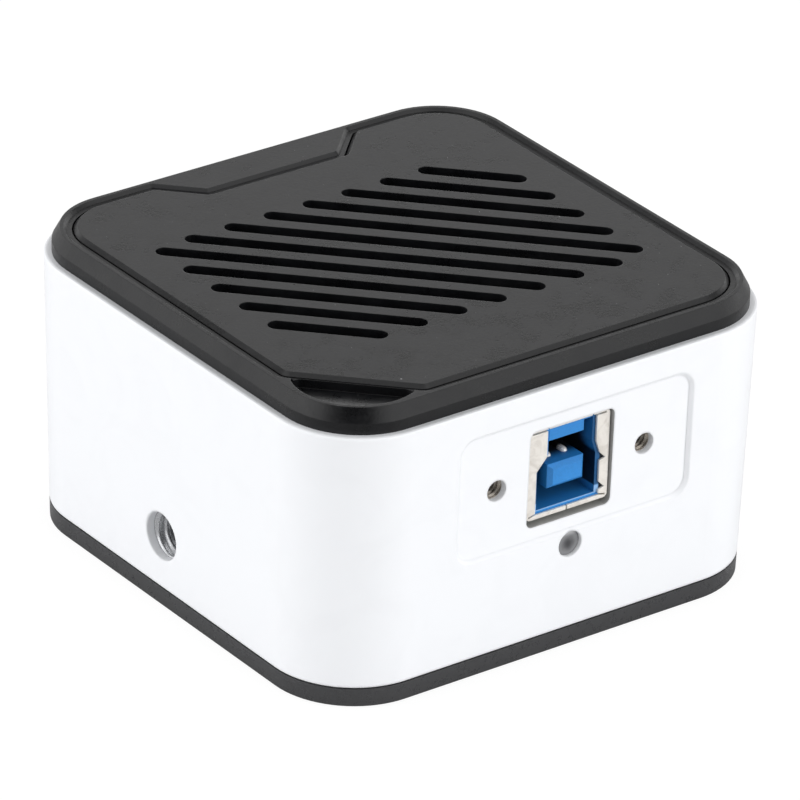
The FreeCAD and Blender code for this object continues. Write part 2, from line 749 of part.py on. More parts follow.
def make_scoop():
    """The pry scoop's hollow: a D shape beside the panel's cut corner, with a floor that rises outwards."""
    body = body_named("scoop")
    floor_z = "top_z - scoop_depth"
    apex = "panel_diagonal + scoop_reach"
    sketch = sketch_on(body, "outline", "XY_Plane", floor_z)
    diagonal_turn = FreeCAD.Rotation(FreeCAD.Vector(0, 0, 1), 135)
    sketch.AttachmentOffset = FreeCAD.Placement(sketch.AttachmentOffset.Base, diagonal_turn)
    centre = FreeCAD.Vector(0, number(f"{apex} - scoop_radius"), 0)
    radius = number("scoop_radius")
    chord = number("panel_diagonal + scoop_gap")
    half = (radius ** 2 - (chord - centre.y) ** 2) ** 0.5
    right = FreeCAD.Vector(half, chord, 0)
    left = FreeCAD.Vector(-half, chord, 0)
    sketch.addGeometry(Part.LineSegment(left, right))
    sketch.addGeometry(Part.Arc(right, centre + FreeCAD.Vector(0, radius, 0), left))
    sketch.addConstraint(Sketcher.Constraint("Coincident", 0, 2, 1, 1))
    sketch.addConstraint(Sketcher.Constraint("Coincident", 0, 1, 1, 2))
    sketch.addConstraint(Sketcher.Constraint("Horizontal", 0))
    sketch.addConstraint(Sketcher.Constraint("PointOnObject", 1, 3, -2))
    measure(sketch, "DistanceY", 1, 3, text=f"{apex} - scoop_radius")
    measure(sketch, "DistanceY", 0, 1, text="panel_diagonal + scoop_gap")
    measure(sketch, "Radius", 1, text="scoop_radius")
    pad(body, "hollow", sketch, f"scoop_depth + {PAST}")
    dress(body, "Fillet", "ends", "scoop_round",
          lambda edge: edge.BoundBox.XLength < NEAR and edge.BoundBox.ZLength > 1)
    ramp = feature(body, "SubtractiveWedge", "ramp")
    bind(ramp, Xmin="-2 * scoop_radius", Xmax="2 * scoop_radius", X2min="-2 * scoop_radius",
         X2max="2 * scoop_radius")
    bind(ramp, Ymin="panel_diagonal + scoop_gap", Ymax=apex)
    bind(ramp, Zmin=f"{floor_z} - {PAST}", Zmax=floor_z, Z2min=f"{floor_z} - {PAST}",
         Z2max="top_z - scoop_lip")
    ramp.Placement = FreeCAD.Placement(FreeCAD.Vector(), diagonal_turn)
    return body


def make_vent_panel():
    body = body_named("vent_panel")
    pad(body, "plate", panel_outline(body, "plate_outline", "0", "seat_z"), "panel_thickness")
    dress(body, "Chamfer", "plate_bevel", "panel_bevel", level_at("top_z"))
    pocket(body, "slots", slots_sketch(body), f"panel_thickness + 2 * {PAST}")
    for index, (x, y) in enumerate(four("peg_x", "peg_spacing / 2")):
        cylinder(body, "Additive", f"peg_{index}", "peg_radius", (x, y, "seat_z - peg_length"),
                 "peg_length + panel_thickness / 2")
    return finish(body, "vent_panel")


def slots_sketch(body):
    """Parallel slots along (1, -1), each trimmed to the vent field, with round ends."""
    sketch = sketch_on(body, "slots_outline", "XY_Plane", f"top_z + {PAST}")
    pitch = f"(2 * (vent_half_x + vent_half_y - slot_corner) / {SLOT_COUNT - 1})"
    for index in range(SLOT_COUNT):
        across = f"({index - (SLOT_COUNT - 1) / 2} * {pitch} / 2)"
        back = "(slot_width / 2 / sqrt(2))"
        ahead = f"(min(vent_half_x - {across}; vent_half_y + vent_shift + {across}) - {back})"
        behind = f"(min(vent_half_x + {across}; vent_half_y - vent_shift - {across}) - {back})"
        ends = [(f"{across} + {ahead}", f"{across} - {ahead}"),
                (f"{across} - {behind}", f"{across} + {behind}")]
        centres = [FreeCAD.Vector(number(x), number(y), 0) for x, y in ends]
        along = (centres[0] - centres[1]).normalize()
        radius = number("slot_width / 2")
        aside = FreeCAD.Vector(-along.y, along.x, 0) * radius
        first = sketch.GeometryCount
        sketch.addGeometry(Part.Arc(centres[0] - aside, centres[0] + along * radius, centres[0] + aside))
        sketch.addGeometry(Part.LineSegment(centres[0] + aside, centres[1] + aside))
        sketch.addGeometry(Part.Arc(centres[1] + aside, centres[1] - along * radius, centres[1] - aside))
        sketch.addGeometry(Part.LineSegment(centres[1] - aside, centres[0] - aside))
        for step in range(4):
            here, after = first + step, first + (step + 1) % 4
            sketch.addConstraint(Sketcher.Constraint("Tangent", here, 2, after, 1))
        for arc, (x, y) in zip((first, first + 2), ends):
            measure(sketch, "DistanceX", arc, 3, text=x)
            measure(sketch, "DistanceY", arc, 3, text=y)
        measure(sketch, "Radius", first, text="slot_width / 2")
    return sketch


def make_case_screws():
    """Long countersunk screws that clamp base plate, housing and cover together."""
    screws = []
    for index, (x, y) in enumerate(four("column_place", "column_place")):
        name = f"case_screw_{index}"
        head = primitive("Cone", f"{name}_head", (x, y, "0"), Radius1="screw_head_radius",
                         Radius2="screw_radius",
                         Height="screw_head_height")
        shank = drum(f"{name}_shank", "screw_radius", "screw_top", (x, y), "0")
        driver = primitive("Prism", f"{name}_driver", (x, y, f"-{PAST}"), Circumradius="driver_radius",
                           Height=f"driver_depth + {PAST}")
        driver.Polygon = 6
        screws.append(cut(name, fused(f"{name}_blank", [head, shank]), driver))
    group("case_screws", screws)


# The optics: filter, seal, retainer, hood and sensor

def make_optics():
    middle = ("0", "0")
    finish(tube("filter_seal_ring", "filter_radius", "light_hole_radius", "seal_thickness", middle, "seal_z"),
           "filter_seal")
    finish(drum("filter_disc", "filter_radius", "filter_thickness", middle, "filter_z"), "filter_glass")
    finish(tube("retainer", "filter_radius", "filter_radius - retainer_wall", "retainer_height", middle,
                "retainer_z"), "filter_retainer")
    sleeve = block("hood_outside", ("2 * (hood_half_x + hood_wall)", "2 * (hood_half_y + hood_wall)",
                                    "sensor_board_z - boss_top"), middle, "boss_top")
    light_way = block("hood_inside",
                      ("2 * hood_half_x", "2 * hood_half_y", f"sensor_board_z - boss_top + 2 * {PAST}"),
                      middle, f"boss_top - {PAST}")
    finish(cut("hood", sleeve, light_way), "sensor_hood")
    package = block("sensor_package", ("sensor_length", "sensor_width", "sensor_board_z - sensor_face"),
                    middle, "sensor_face")
    die = block("sensor_cavity", ("sensor_length - 2 * sensor_margin", "sensor_width - 2 * sensor_margin",
                                  f"sensor_depth + {PAST}"), middle, f"sensor_face - {PAST}")
    finish(cut("sensor_cut", package, die), "image_sensor")
    finish(block("sensor_lid", ("sensor_length - 2 * sensor_glass_margin",
                                "sensor_width - 2 * sensor_glass_margin",
                                "sensor_glass_thickness"), middle, "sensor_face - sensor_glass_thickness"),
           "sensor_glass")


# The boards and what stands on them

def board_holes(body, places, radius, low, height):
    for index, (x, y) in enumerate(places):
        cylinder(body, "Subtractive", f"hole_{radius}_{index}", f"{radius} + small_screw_clearance",
                 (x, y, f"{low} - {PAST}"), f"{height} + 2 * {PAST}")


def make_boards():
    main = body_named("main_board")
    box(main, "Additive", "plate", ("-(board_half_x)", "-(board_half_y)", "board_height"),
        ("board_half_x", "board_half_y", "board_top"))
    hole_x, hole_y = (f"({half} + hood_wall + board_hole_clearance)" for half in ("hood_half_x",
                                                                                  "hood_half_y"))
    box(main, "Subtractive", "optics_hole", (f"-{hole_x}", f"-{hole_y}", f"board_height - {PAST}"),
        (hole_x, hole_y, f"board_top + {PAST}"))
    board_holes(main, four("standoff_x", "standoff_y"), "small_screw_radius", "board_height",
                "board_thickness")
    finish(main, "main_board")
    sensor = body_named("sensor_board")
    box(sensor, "Additive", "plate", ("-(sensor_board_half)", "-(sensor_board_half)", "sensor_board_z"),
        ("sensor_board_half", "sensor_board_half", "sensor_board_top"))
    board_holes(sensor, four("spacer_place", "spacer_place"), "small_screw_radius", "sensor_board_z",
                "sensor_board_thickness")
    finish(sensor, "sensor_board")


def small_screw(name, centre, seat, bite):
    """A pan-head screw whose head sits on a height, with a hexagon driver hole."""
    head = drum(f"{name}_head", "small_head_radius", "small_head_height", centre, seat)
    shank = drum(f"{name}_shank", "small_screw_radius", f"({bite}) + small_head_height / 2", centre,
                 f"({seat}) - ({bite})")
    driver = primitive("Prism", f"{name}_driver", (*centre, f"({seat}) + small_head_height / 2"),
                       Circumradius="small_screw_radius", Height="small_head_height")
    driver.Polygon = 6
    return cut(name, fused(f"{name}_blank", [head, shank]), driver)


def standoff(name, centre):
    """A sleeve with a spigot that is pressed into the base plate, bored from above for a screw."""
    spigot = drum(f"{name}_spigot", "spigot_radius", "2 * spigot_length", centre,
                  "base_height - spigot_length")
    sleeve = drum(f"{name}_sleeve", "standoff_radius", "board_height - base_height", centre, "base_height")
    bore = drum(f"{name}_bore", "small_screw_radius + small_screw_clearance",
                f"2 * small_screw_bite + {PAST}", centre,
                "board_height - 2 * small_screw_bite")
    return cut(name, fused(f"{name}_blank", [spigot, sleeve]), bore)


def make_board_fixings():
    corners = four("standoff_x", "standoff_y")
    bore = "small_screw_radius + small_screw_clearance"
    group("main_standoffs", [standoff(f"standoff_{i}", spot) for i, spot in enumerate(corners)])
    group("board_screws", [small_screw(f"board_screw_{i}", spot, "board_top",
                                       "board_thickness + small_screw_bite")
                           for i, spot in enumerate(corners)])
    spots = four("spacer_place", "spacer_place")
    group("sensor_spacers", [tube(f"spacer_{i}", "spacer_radius", bore, "stack_gap", spot, "board_top")
                             for i, spot in enumerate(spots)])
    group("sensor_screws", [small_screw(f"sensor_screw_{i}", spot, "sensor_board_top",
                                        "sensor_board_thickness + stack_gap")
                            for i, spot in enumerate(spots)])
    size = ("strip_width", "strip_length", "stack_gap / 2")
    group("board_plugs", [block(f"plug_{side}", size, (f"{side}1 * strip_x", "0"), "board_top")
                          for side in ("+", "-")])
    group("board_sockets", [block(f"socket_{side}", size, (f"{side}1 * strip_x", "0"),
                                  "board_top + stack_gap / 2")
                            for side in ("+", "-")])


def make_chips():
    middle = ("0", "0")
    finish(block("processor", ("processor_width", "processor_width", "processor_height"), middle,
                 "sensor_board_top"),
           "processor_chip")
    memory_size = ("memory_length", "memory_width", "memory_height")
    memory_y = "(processor_width + memory_width) / 2 + pad_margin"
    group("memory_chips", [block(f"memory_{side}", memory_size,
                                 (f"{side}1 * (memory_length + memory_gap) / 2", memory_y),
                                 "sensor_board_top")
                           for side in ("+", "-")])
    controller_x = "port_offset + (port_width + controller_width) / 2 + controller_gap"
    controller_y = "-(sensor_board_half + controller_width / 2 + controller_gap)"
    finish(block("controller", ("controller_width", "controller_width", "controller_height"),
                 (controller_x, controller_y), "board_top"), "port_controller")
    row_y = "board_half_y - front_parts_inset"
    coil_size = ("coil_width", "coil_width", "coil_height")
    group("power_coils", [block(f"coil_{i}", coil_size, (f"-(part_spacing * {i + 0.7})", row_y), "board_top")
                          for i in range(2)])
    group("capacitors", [drum(f"capacitor_{i}", "capacitor_radius", "capacitor_height",
                              (f"part_spacing * {i * 0.75 + 0.4}", row_y), "board_top")
                         for i in range(CAPACITOR_COUNT)])


def make_heat_spreader():
    pad_width = "processor_width - 2 * pad_margin"
    finish(block("pad", (pad_width, pad_width, "pad_thickness"), ("0", "0"), "pad_z"), "thermal_pad")
    body = body_named("heat_spreader")
    box(body, "Additive", "plate", ("-(spreader_half_x)", "-(spreader_low)", "spreader_z"),
        ("spreader_half_x", "spreader_high", "fin_z"))
    for index in range(FIN_COUNT):
        x = f"{2 * index / (FIN_COUNT - 1) - 1} * (spreader_half_x - fin_edge)"
        box(body, "Additive", f"fin_{index}",
            (f"{x} - fin_thickness / 2", "fin_margin - spreader_low", "spreader_z"),
            (f"{x} + fin_thickness / 2", "spreader_high - fin_margin", "fin_top"))
    spots = [(f"{side} * (spreader_half_x - post_inset)", y) for side in (1, -1)
             for y in ("post_inset - spreader_low", "spreader_high - post_inset")]
    board_holes(body, spots, "small_screw_radius", "spreader_z", "spreader_thickness")
    finish(body, "heat_spreader")
    bore = "small_screw_radius + small_screw_clearance"
    group("spreader_posts", [tube(f"post_{i}", "post_radius", bore, "spreader_z - board_top", spot,
                                  "board_top")
                             for i, spot in enumerate(spots)])
    group("spreader_screws", [small_screw(f"spreader_screw_{i}", spot, "fin_z",
                                          "spreader_thickness + (spreader_z - board_top) / 2")
                              for i, spot in enumerate(spots)])


# The data port and the status light

def mouth_outline(inset):
    """The port's mouth seen from outside: wide below, narrow above, with slanted shoulders."""
    low, high = f"(mouth_low_half - ({inset}))", f"(mouth_high_half - ({inset}))"
    levels = [("0", low, f"mouth_floor + ({inset})"), ("0", low, "mouth_shoulder"),
              ("neck_shift", high, "mouth_neck"), ("neck_shift", high, f"mouth_roof - ({inset})")]
    right = [(f"port_offset + {shift} + {half}", z) for shift, half, z in levels]
    left = [(f"port_offset + {shift} - {half}", z) for shift, half, z in reversed(levels)]
    return right + left


def make_port_shell():
    body = body_named("port_shell")
    low_x, high_x = "port_offset - port_width / 2", "port_offset + port_width / 2"
    roof = "board_top + port_height"
    back = "port_depth - port_face"
    box(body, "Additive", "sleeve", (low_x, "-(port_face)", "board_top"), (high_x, back, roof))
    dress(body, "Fillet", "sleeve_corners", "shell_round", lambda edge: edge.BoundBox.YLength > 1)
    box(body, "Subtractive", "inside",
        (f"{low_x} + shell_sheet", "shell_sheet - port_face", "board_top + shell_sheet"),
        (f"{high_x} - shell_sheet", f"{back} + {PAST}", f"{roof} - shell_sheet"))
    mouth = polygon(body, "mouth_outline", mouth_outline("0"), "XZ_Plane", f"port_face + {PAST}")
    pocket(body, "mouth", mouth, f"2 * shell_sheet + {PAST}")
    for index, side in enumerate("-+"):
        x = f"port_offset + neck_shift / 2 {side} lip_seam_place"
        box(body, "Subtractive", f"top_seam_{index}",
            (f"{x} - seam_slit / 2", f"-(port_face + {PAST})", f"{roof} - 2 * lip_height"),
            (f"{x} + seam_slit / 2", "4 * lip_height - port_face", f"{roof} + {PAST}"))
    box(body, "Subtractive", "foot_seam",
        ("port_offset - seam_slit / 2", f"-(port_face + {PAST})", f"board_top - {PAST}"),
        ("port_offset + seam_slit / 2", "4 * lip_height - port_face", "board_top + 2 * lip_height"))
    for index, side in enumerate((-1, 1)):
        add_flange_seams(body, index, side)
    add_beaks(body)
    return finish(body, "port_shell")


def add_flange_seams(body, index, side):
    """The slits that part one front flange from the lips above and below it."""
    near_x = f"port_offset + neck_shift + {side} * mouth_high_half"
    far_x = f"port_offset + {side} * (port_width / 2 - lip_height)"
    low_x, high_x = (near_x, far_x) if side > 0 else (far_x, near_x)
    box(body, "Subtractive", f"flange_seam_{index}",
        (low_x, f"-(port_face + {PAST})", "mouth_roof - seam_slit"),
        (high_x, "2 * shell_sheet - port_face", "mouth_roof"))
    inner = f"port_offset + {side} * mouth_low_half"
    outer = f"port_offset + {side} * (port_width / 2 - shell_sheet)"
    mitre = [(inner, "mouth_floor"), (outer, "board_top + shell_sheet"),
             (outer, "board_top + shell_sheet + seam_slit"),
             (inner, "mouth_floor + seam_slit")]
    slit = polygon(body, f"mitre_outline_{index}", mitre, "XZ_Plane", f"port_face + {PAST}")
    pocket(body, f"mitre_{index}", slit, f"2 * shell_sheet + {PAST}")


def add_beaks(body):
    """The two beaked notches in the inner edge of the +X flange."""
    inner = "port_offset + mouth_low_half"
    inside = f"{inner} - seam_slit"
    for level, z in enumerate(("mouth_shoulder", "mouth_floor + beak_rise")):
        beak = [(inside, z), (inner, z), (f"{inner} + beak_reach", f"{z} - beak_reach"),
                (inner, f"{z} - beak_root"), (inside, f"{z} - beak_root")]
        outline = polygon(body, f"beak_outline_{level}", beak, "XZ_Plane", f"port_face + {PAST}")
        pocket(body, f"beak_{level}", outline, f"2 * shell_sheet + {PAST}")


def make_port_insulator():
    body = body_named("port_insulator")
    gap = "(shell_sheet + shell_fit)"
    back = "port_depth - port_face"
    box(body, "Additive", "block",
        (f"port_offset - port_width / 2 + {gap}", "-(cavity_face)", f"board_top + {gap}"),
        (f"port_offset + port_width / 2 - {gap}", back, f"board_top + port_height - {gap}"))
    cavity = polygon(body, "cavity_outline", mouth_outline("mouth_rim"), "XZ_Plane", f"cavity_face + {PAST}")
    pocket(body, "cavity", cavity, f"cavity_depth + {PAST}")
    deep = "cavity_depth + shell_sheet - cavity_face"
    front = "tongue_setback - port_face"
    box(body, "Additive", "tongue", ("port_offset - tongue_width / 2", front, "tongue_z"),
        ("port_offset + tongue_width / 2", deep, "tongue_z + tongue_height"))
    face = number(front)
    dress(body, "Chamfer", "tongue_edges", "tongue_bevel",
          lambda edge: abs(edge.BoundBox.YMin - face) < NEAR and abs(edge.BoundBox.YMax - face) < NEAR)
    roof = "(mouth_roof - mouth_rim)"
    box(body, "Additive", "upper_tongue",
        ("port_offset - upper_tongue_width / 2", "upper_tongue_setback - port_face",
         f"{roof} - upper_tongue_height"),
        ("port_offset + upper_tongue_width / 2", deep, f"{roof} + shell_sheet"))
    return finish(body, "port_insulator")


def make_port_contacts():
    """Two contacts above the tongue, two below it and a row of fine ones under the upper tongue."""
    contacts = []
    start = "tongue_setback + contact_setback - port_face"
    for side in (-1, 1):
        x = f"port_offset + {side} * contact_spacing / 2 - contact_width / 2"
        for level, z in (("top", "tongue_z + tongue_height"), ("under", "tongue_z - contact_thickness")):
            contacts.append(primitive("Box", f"contact_{level}_{side + 1}", (x, start, z),
                                      Length="contact_width",
                                      Width="contact_length", Height="contact_thickness"))
    z = "mouth_roof - mouth_rim - upper_tongue_height - fine_contact_thickness"
    for index in range(FINE_CONTACT_COUNT):
        steps = index - (FINE_CONTACT_COUNT - 1) / 2
        x = f"port_offset + {steps} * fine_contact_spacing - fine_contact_width / 2"
        contacts.append(primitive("Box", f"fine_contact_{index}", (x, start, z), Length="fine_contact_width",
                                  Width="contact_length", Height="fine_contact_thickness"))
    group("port_contacts", contacts)


def make_status_light():
    inner = "light_wall - wall"
    pipe = primitive("Cylinder", "pipe", ("light_x", "pipe_setback - light_wall", "light_z"), TURNS["y"],
                     Radius="pipe_radius", Height="wall - pipe_setback + pipe_gap")
    finish(pipe, "light_pipe")
    centre = ("light_x", f"light_depth / 2 + 2 * pipe_gap - ({inner})")
    lamp = block("lamp", ("light_width", "light_depth", "light_drop + light_width / 2"), centre,
                 "light_z - light_width / 2")
    finish(lamp, "status_light")


make_housing()
make_base_plate()
make_top_frame()
make_vent_panel()
make_case_screws()
make_optics()
make_boards()
make_board_fixings()
make_chips()
make_heat_spreader()
make_port_shell()
make_port_insulator()
make_port_contacts()
make_status_light()
doc.recompute()

failed = [item.Name for item in doc.Objects if {"Invalid", "Error"} & set(item.State)]
bad = [item.Label for item in pieces if item.Shape.isNull() or not item.Shape.isValid()]
if failed or bad:
    raise RuntimeError(f"failed features {failed}, bad pieces {bad}")

os.makedirs("parts", exist_ok=True)
for item in pieces:
    item.Shape.exportStep(f"parts/{item.Label}.step")
    print(f"{item.Label}: {len(item.Shape.Solids)} solids, {item.Shape.Volume:.1f} mm3")
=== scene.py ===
import logging
import math
from dataclasses import dataclass, field
from enum import Enum
from typing import Any, Callable, Optional, Union

import bpy
import numpy as np
from mathutils import Euler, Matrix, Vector


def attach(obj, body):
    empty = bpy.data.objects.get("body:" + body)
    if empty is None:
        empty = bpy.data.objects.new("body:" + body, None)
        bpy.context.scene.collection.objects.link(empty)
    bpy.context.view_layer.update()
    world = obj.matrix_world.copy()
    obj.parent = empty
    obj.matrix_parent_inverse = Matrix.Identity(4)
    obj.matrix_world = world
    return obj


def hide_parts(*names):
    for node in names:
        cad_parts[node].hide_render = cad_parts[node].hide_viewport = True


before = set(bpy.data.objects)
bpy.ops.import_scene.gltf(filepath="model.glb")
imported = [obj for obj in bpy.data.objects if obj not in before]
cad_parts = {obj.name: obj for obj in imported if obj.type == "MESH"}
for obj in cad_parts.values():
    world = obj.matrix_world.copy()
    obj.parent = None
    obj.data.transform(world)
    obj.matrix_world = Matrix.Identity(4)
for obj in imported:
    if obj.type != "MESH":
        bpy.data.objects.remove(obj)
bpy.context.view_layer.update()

# Looks of a microscope camera: a white painted case between a black base plate and a
# black vented cover. Lengths are metres, Z is up, the data port faces -Y and the tripod
# thread faces -X.

BODY = "root"
MM = 0.001

log = logging.getLogger("microscope_camera")

Socket = bpy.types.NodeSocket
Sockets = dict[str, Socket]
Node = bpy.types.Node
Colour = tuple[float, float, float]
Spot = tuple[float, float, float]
Band = tuple[float, float]
Value = Union[float, Colour, Socket]
Points = np.ndarray

ORIGIN: Spot = (0.0, 0.0, 0.0)
EVEN: Spot = (1.0, 1.0, 1.0)
WHITE: Colour = (1.0, 1.0, 1.0)
BLACK: Colour = (0.0, 0.0, 0.0)
# Palest colour that the painted highlight on edges may reach.
PALEST_EDGE_HIGHLIGHT = 0.97
NOISE_BAND: Band = (0.3, 0.7)


# Node trees

class Wiring:
    """Adds nodes to one node tree and joins their sockets."""

    def __init__(self, tree: bpy.types.NodeTree) -> None:
        """Takes the tree that the nodes go into."""
        self.tree = tree

    def put(self, socket: Socket, value: Any) -> None:
        """Joins a socket to another one, or sets the value that it holds.

        Args:
            socket: the input that is fed.
            value: an output socket, a number, a vector or a colour.
        """
        if isinstance(value, bpy.types.NodeSocket):
            self.tree.links.new(value, socket)
        elif socket.type == "RGBA":
            socket.default_value = (*value[:3], 1.0)
        else:
            socket.default_value = value

    def add(self, kind: str, inputs: Optional[dict] = None, **settings: Any) -> Node:
        """Makes one node.

        Args:
            kind: the node's type name without its prefix.
            inputs: what feeds each input, by name or number.
            settings: the node's own options.

        Returns:
            The new node.
        """
        node = self.tree.nodes.new("ShaderNode" + kind)
        for name, value in settings.items():
            setattr(node, name, value)
        for key, value in (inputs or {}).items():
            self.put(node.inputs[key], value)
        return node

    def sum(self, operation: str, first: Value, second: Value = 0.0,
            clamp: bool = False) -> Socket:
        """Works out one arithmetic step.

        Args:
            operation: the name of the step, as in ADD.
            first: its first number.
            second: its second number.
            clamp: True keeps the result from 0 to 1.

        Returns:
            The socket with the result.
        """
        node = self.add("Math", {0: first, 1: second}, operation=operation, use_clamp=clamp)
        return node.outputs[0]

    def plus(self, first: Value, second: Value) -> Socket:
        """Adds two numbers."""
        return self.sum("ADD", first, second)

    def times(self, first: Value, second: Value) -> Socket:
        """Multiplies two numbers."""
        return self.sum("MULTIPLY", first, second)

    def size(self, value: Value) -> Socket:
        """Gives a number without its sign."""
        return self.sum("ABSOLUTE", value)

    def reach(self, first: Value, second: Value) -> Socket:
        """Gives the distance from an axis, the root of the sum of two squares."""
        squares = [self.sum("POWER", part, 2.0) for part in (first, second)]
        return self.sum("SQRT", self.plus(*squares))

    def ramp(self, value: Value, low: float, high: float, start: float = 0.0,
             end: float = 1.0) -> Socket:
        """Carries a value smoothly from one range to another.

        Args:
            value: what is carried.
            low: where the result is start.
            high: where the result is end.
            start: the result at low.
            end: the result at high.

        Returns:
            The socket with the result.
        """
        inputs = {"Value": value, "From Min": low, "From Max": high, "To Min": start,
                  "To Max": end}
        return self.add("MapRange", inputs, interpolation_type="SMOOTHSTEP").outputs["Result"]

    def between(self, share: Value, start: float, end: float) -> Socket:
        """Carries a share of 0 to 1 smoothly from start to end."""
        return self.ramp(share, 0.0, 1.0, start, end)

    def mix(self, share: Value, under: Value, over: Value) -> Socket:
        """Lays one colour over another.

        Args:
            share: how much of the upper colour shows, from 0 to 1.
            under: the lower colour.
            over: the upper colour.

        Returns:
            The socket with the colour.
        """
        node = self.add("Mix", data_type="RGBA")
        for number, value in ((0, share), (6, under), (7, over)):
            self.put(node.inputs[number], value)
        return node.outputs[2]

    def choose(self, share: Value, under: Value, over: Value) -> Socket:
        """Goes from one number to another by a share of 0 to 1."""
        return self.add("Mix", {0: share, 2: under, 3: over}).outputs[0]

    def vector(self, operation: str, first: Value, second: Value = ORIGIN) -> Socket:
        """Works out one step with vectors."""
        return self.add("VectorMath", {0: first, 1: second}, operation=operation).outputs[0]

    def facing(self, first: Value, second: Value) -> Socket:
        """Gives how far two directions agree, from -1 to 1."""
        node = self.add("VectorMath", {0: first, 1: second}, operation="DOT_PRODUCT")
        return node.outputs["Value"]

    def noise(self, vector: Value, scale: Value, detail: float) -> Socket:
        """Gives a cloudy pattern of 0 to 1."""
        inputs = {"Vector": vector, "Scale": scale, "Detail": detail}
        return self.add("TexNoise", inputs).outputs[0]

    def split(self, vector: Value) -> tuple[Socket, Socket, Socket]:
        """Gives the three parts of a vector."""
        return tuple(self.add("SeparateXYZ", {0: vector}).outputs)

    def own_place(self) -> Socket:
        """Gives the piece's own coordinates."""
        return self.add("TexCoord").outputs["Object"]

    def normal(self) -> Socket:
        """Gives the face's direction."""
        return self.add("NewGeometry").outputs["Normal"]


# Effects that several finishes share

class Effect(Enum):
    """The shared node groups, by the name that they have in the file."""

    GRAIN = "fine_grain"
    SPECKS = "dust_specks"
    EDGES = "soft_edges"
    SMEARS = "faint_smears"
    BLOCK = "inside_block"
    RINGS = "turned_rings"


GroupMaker = Callable[[Wiring, Sockets], Sockets]
VECTOR_SOCKETS = ("Vector", "Middle", "Half", "Normal")


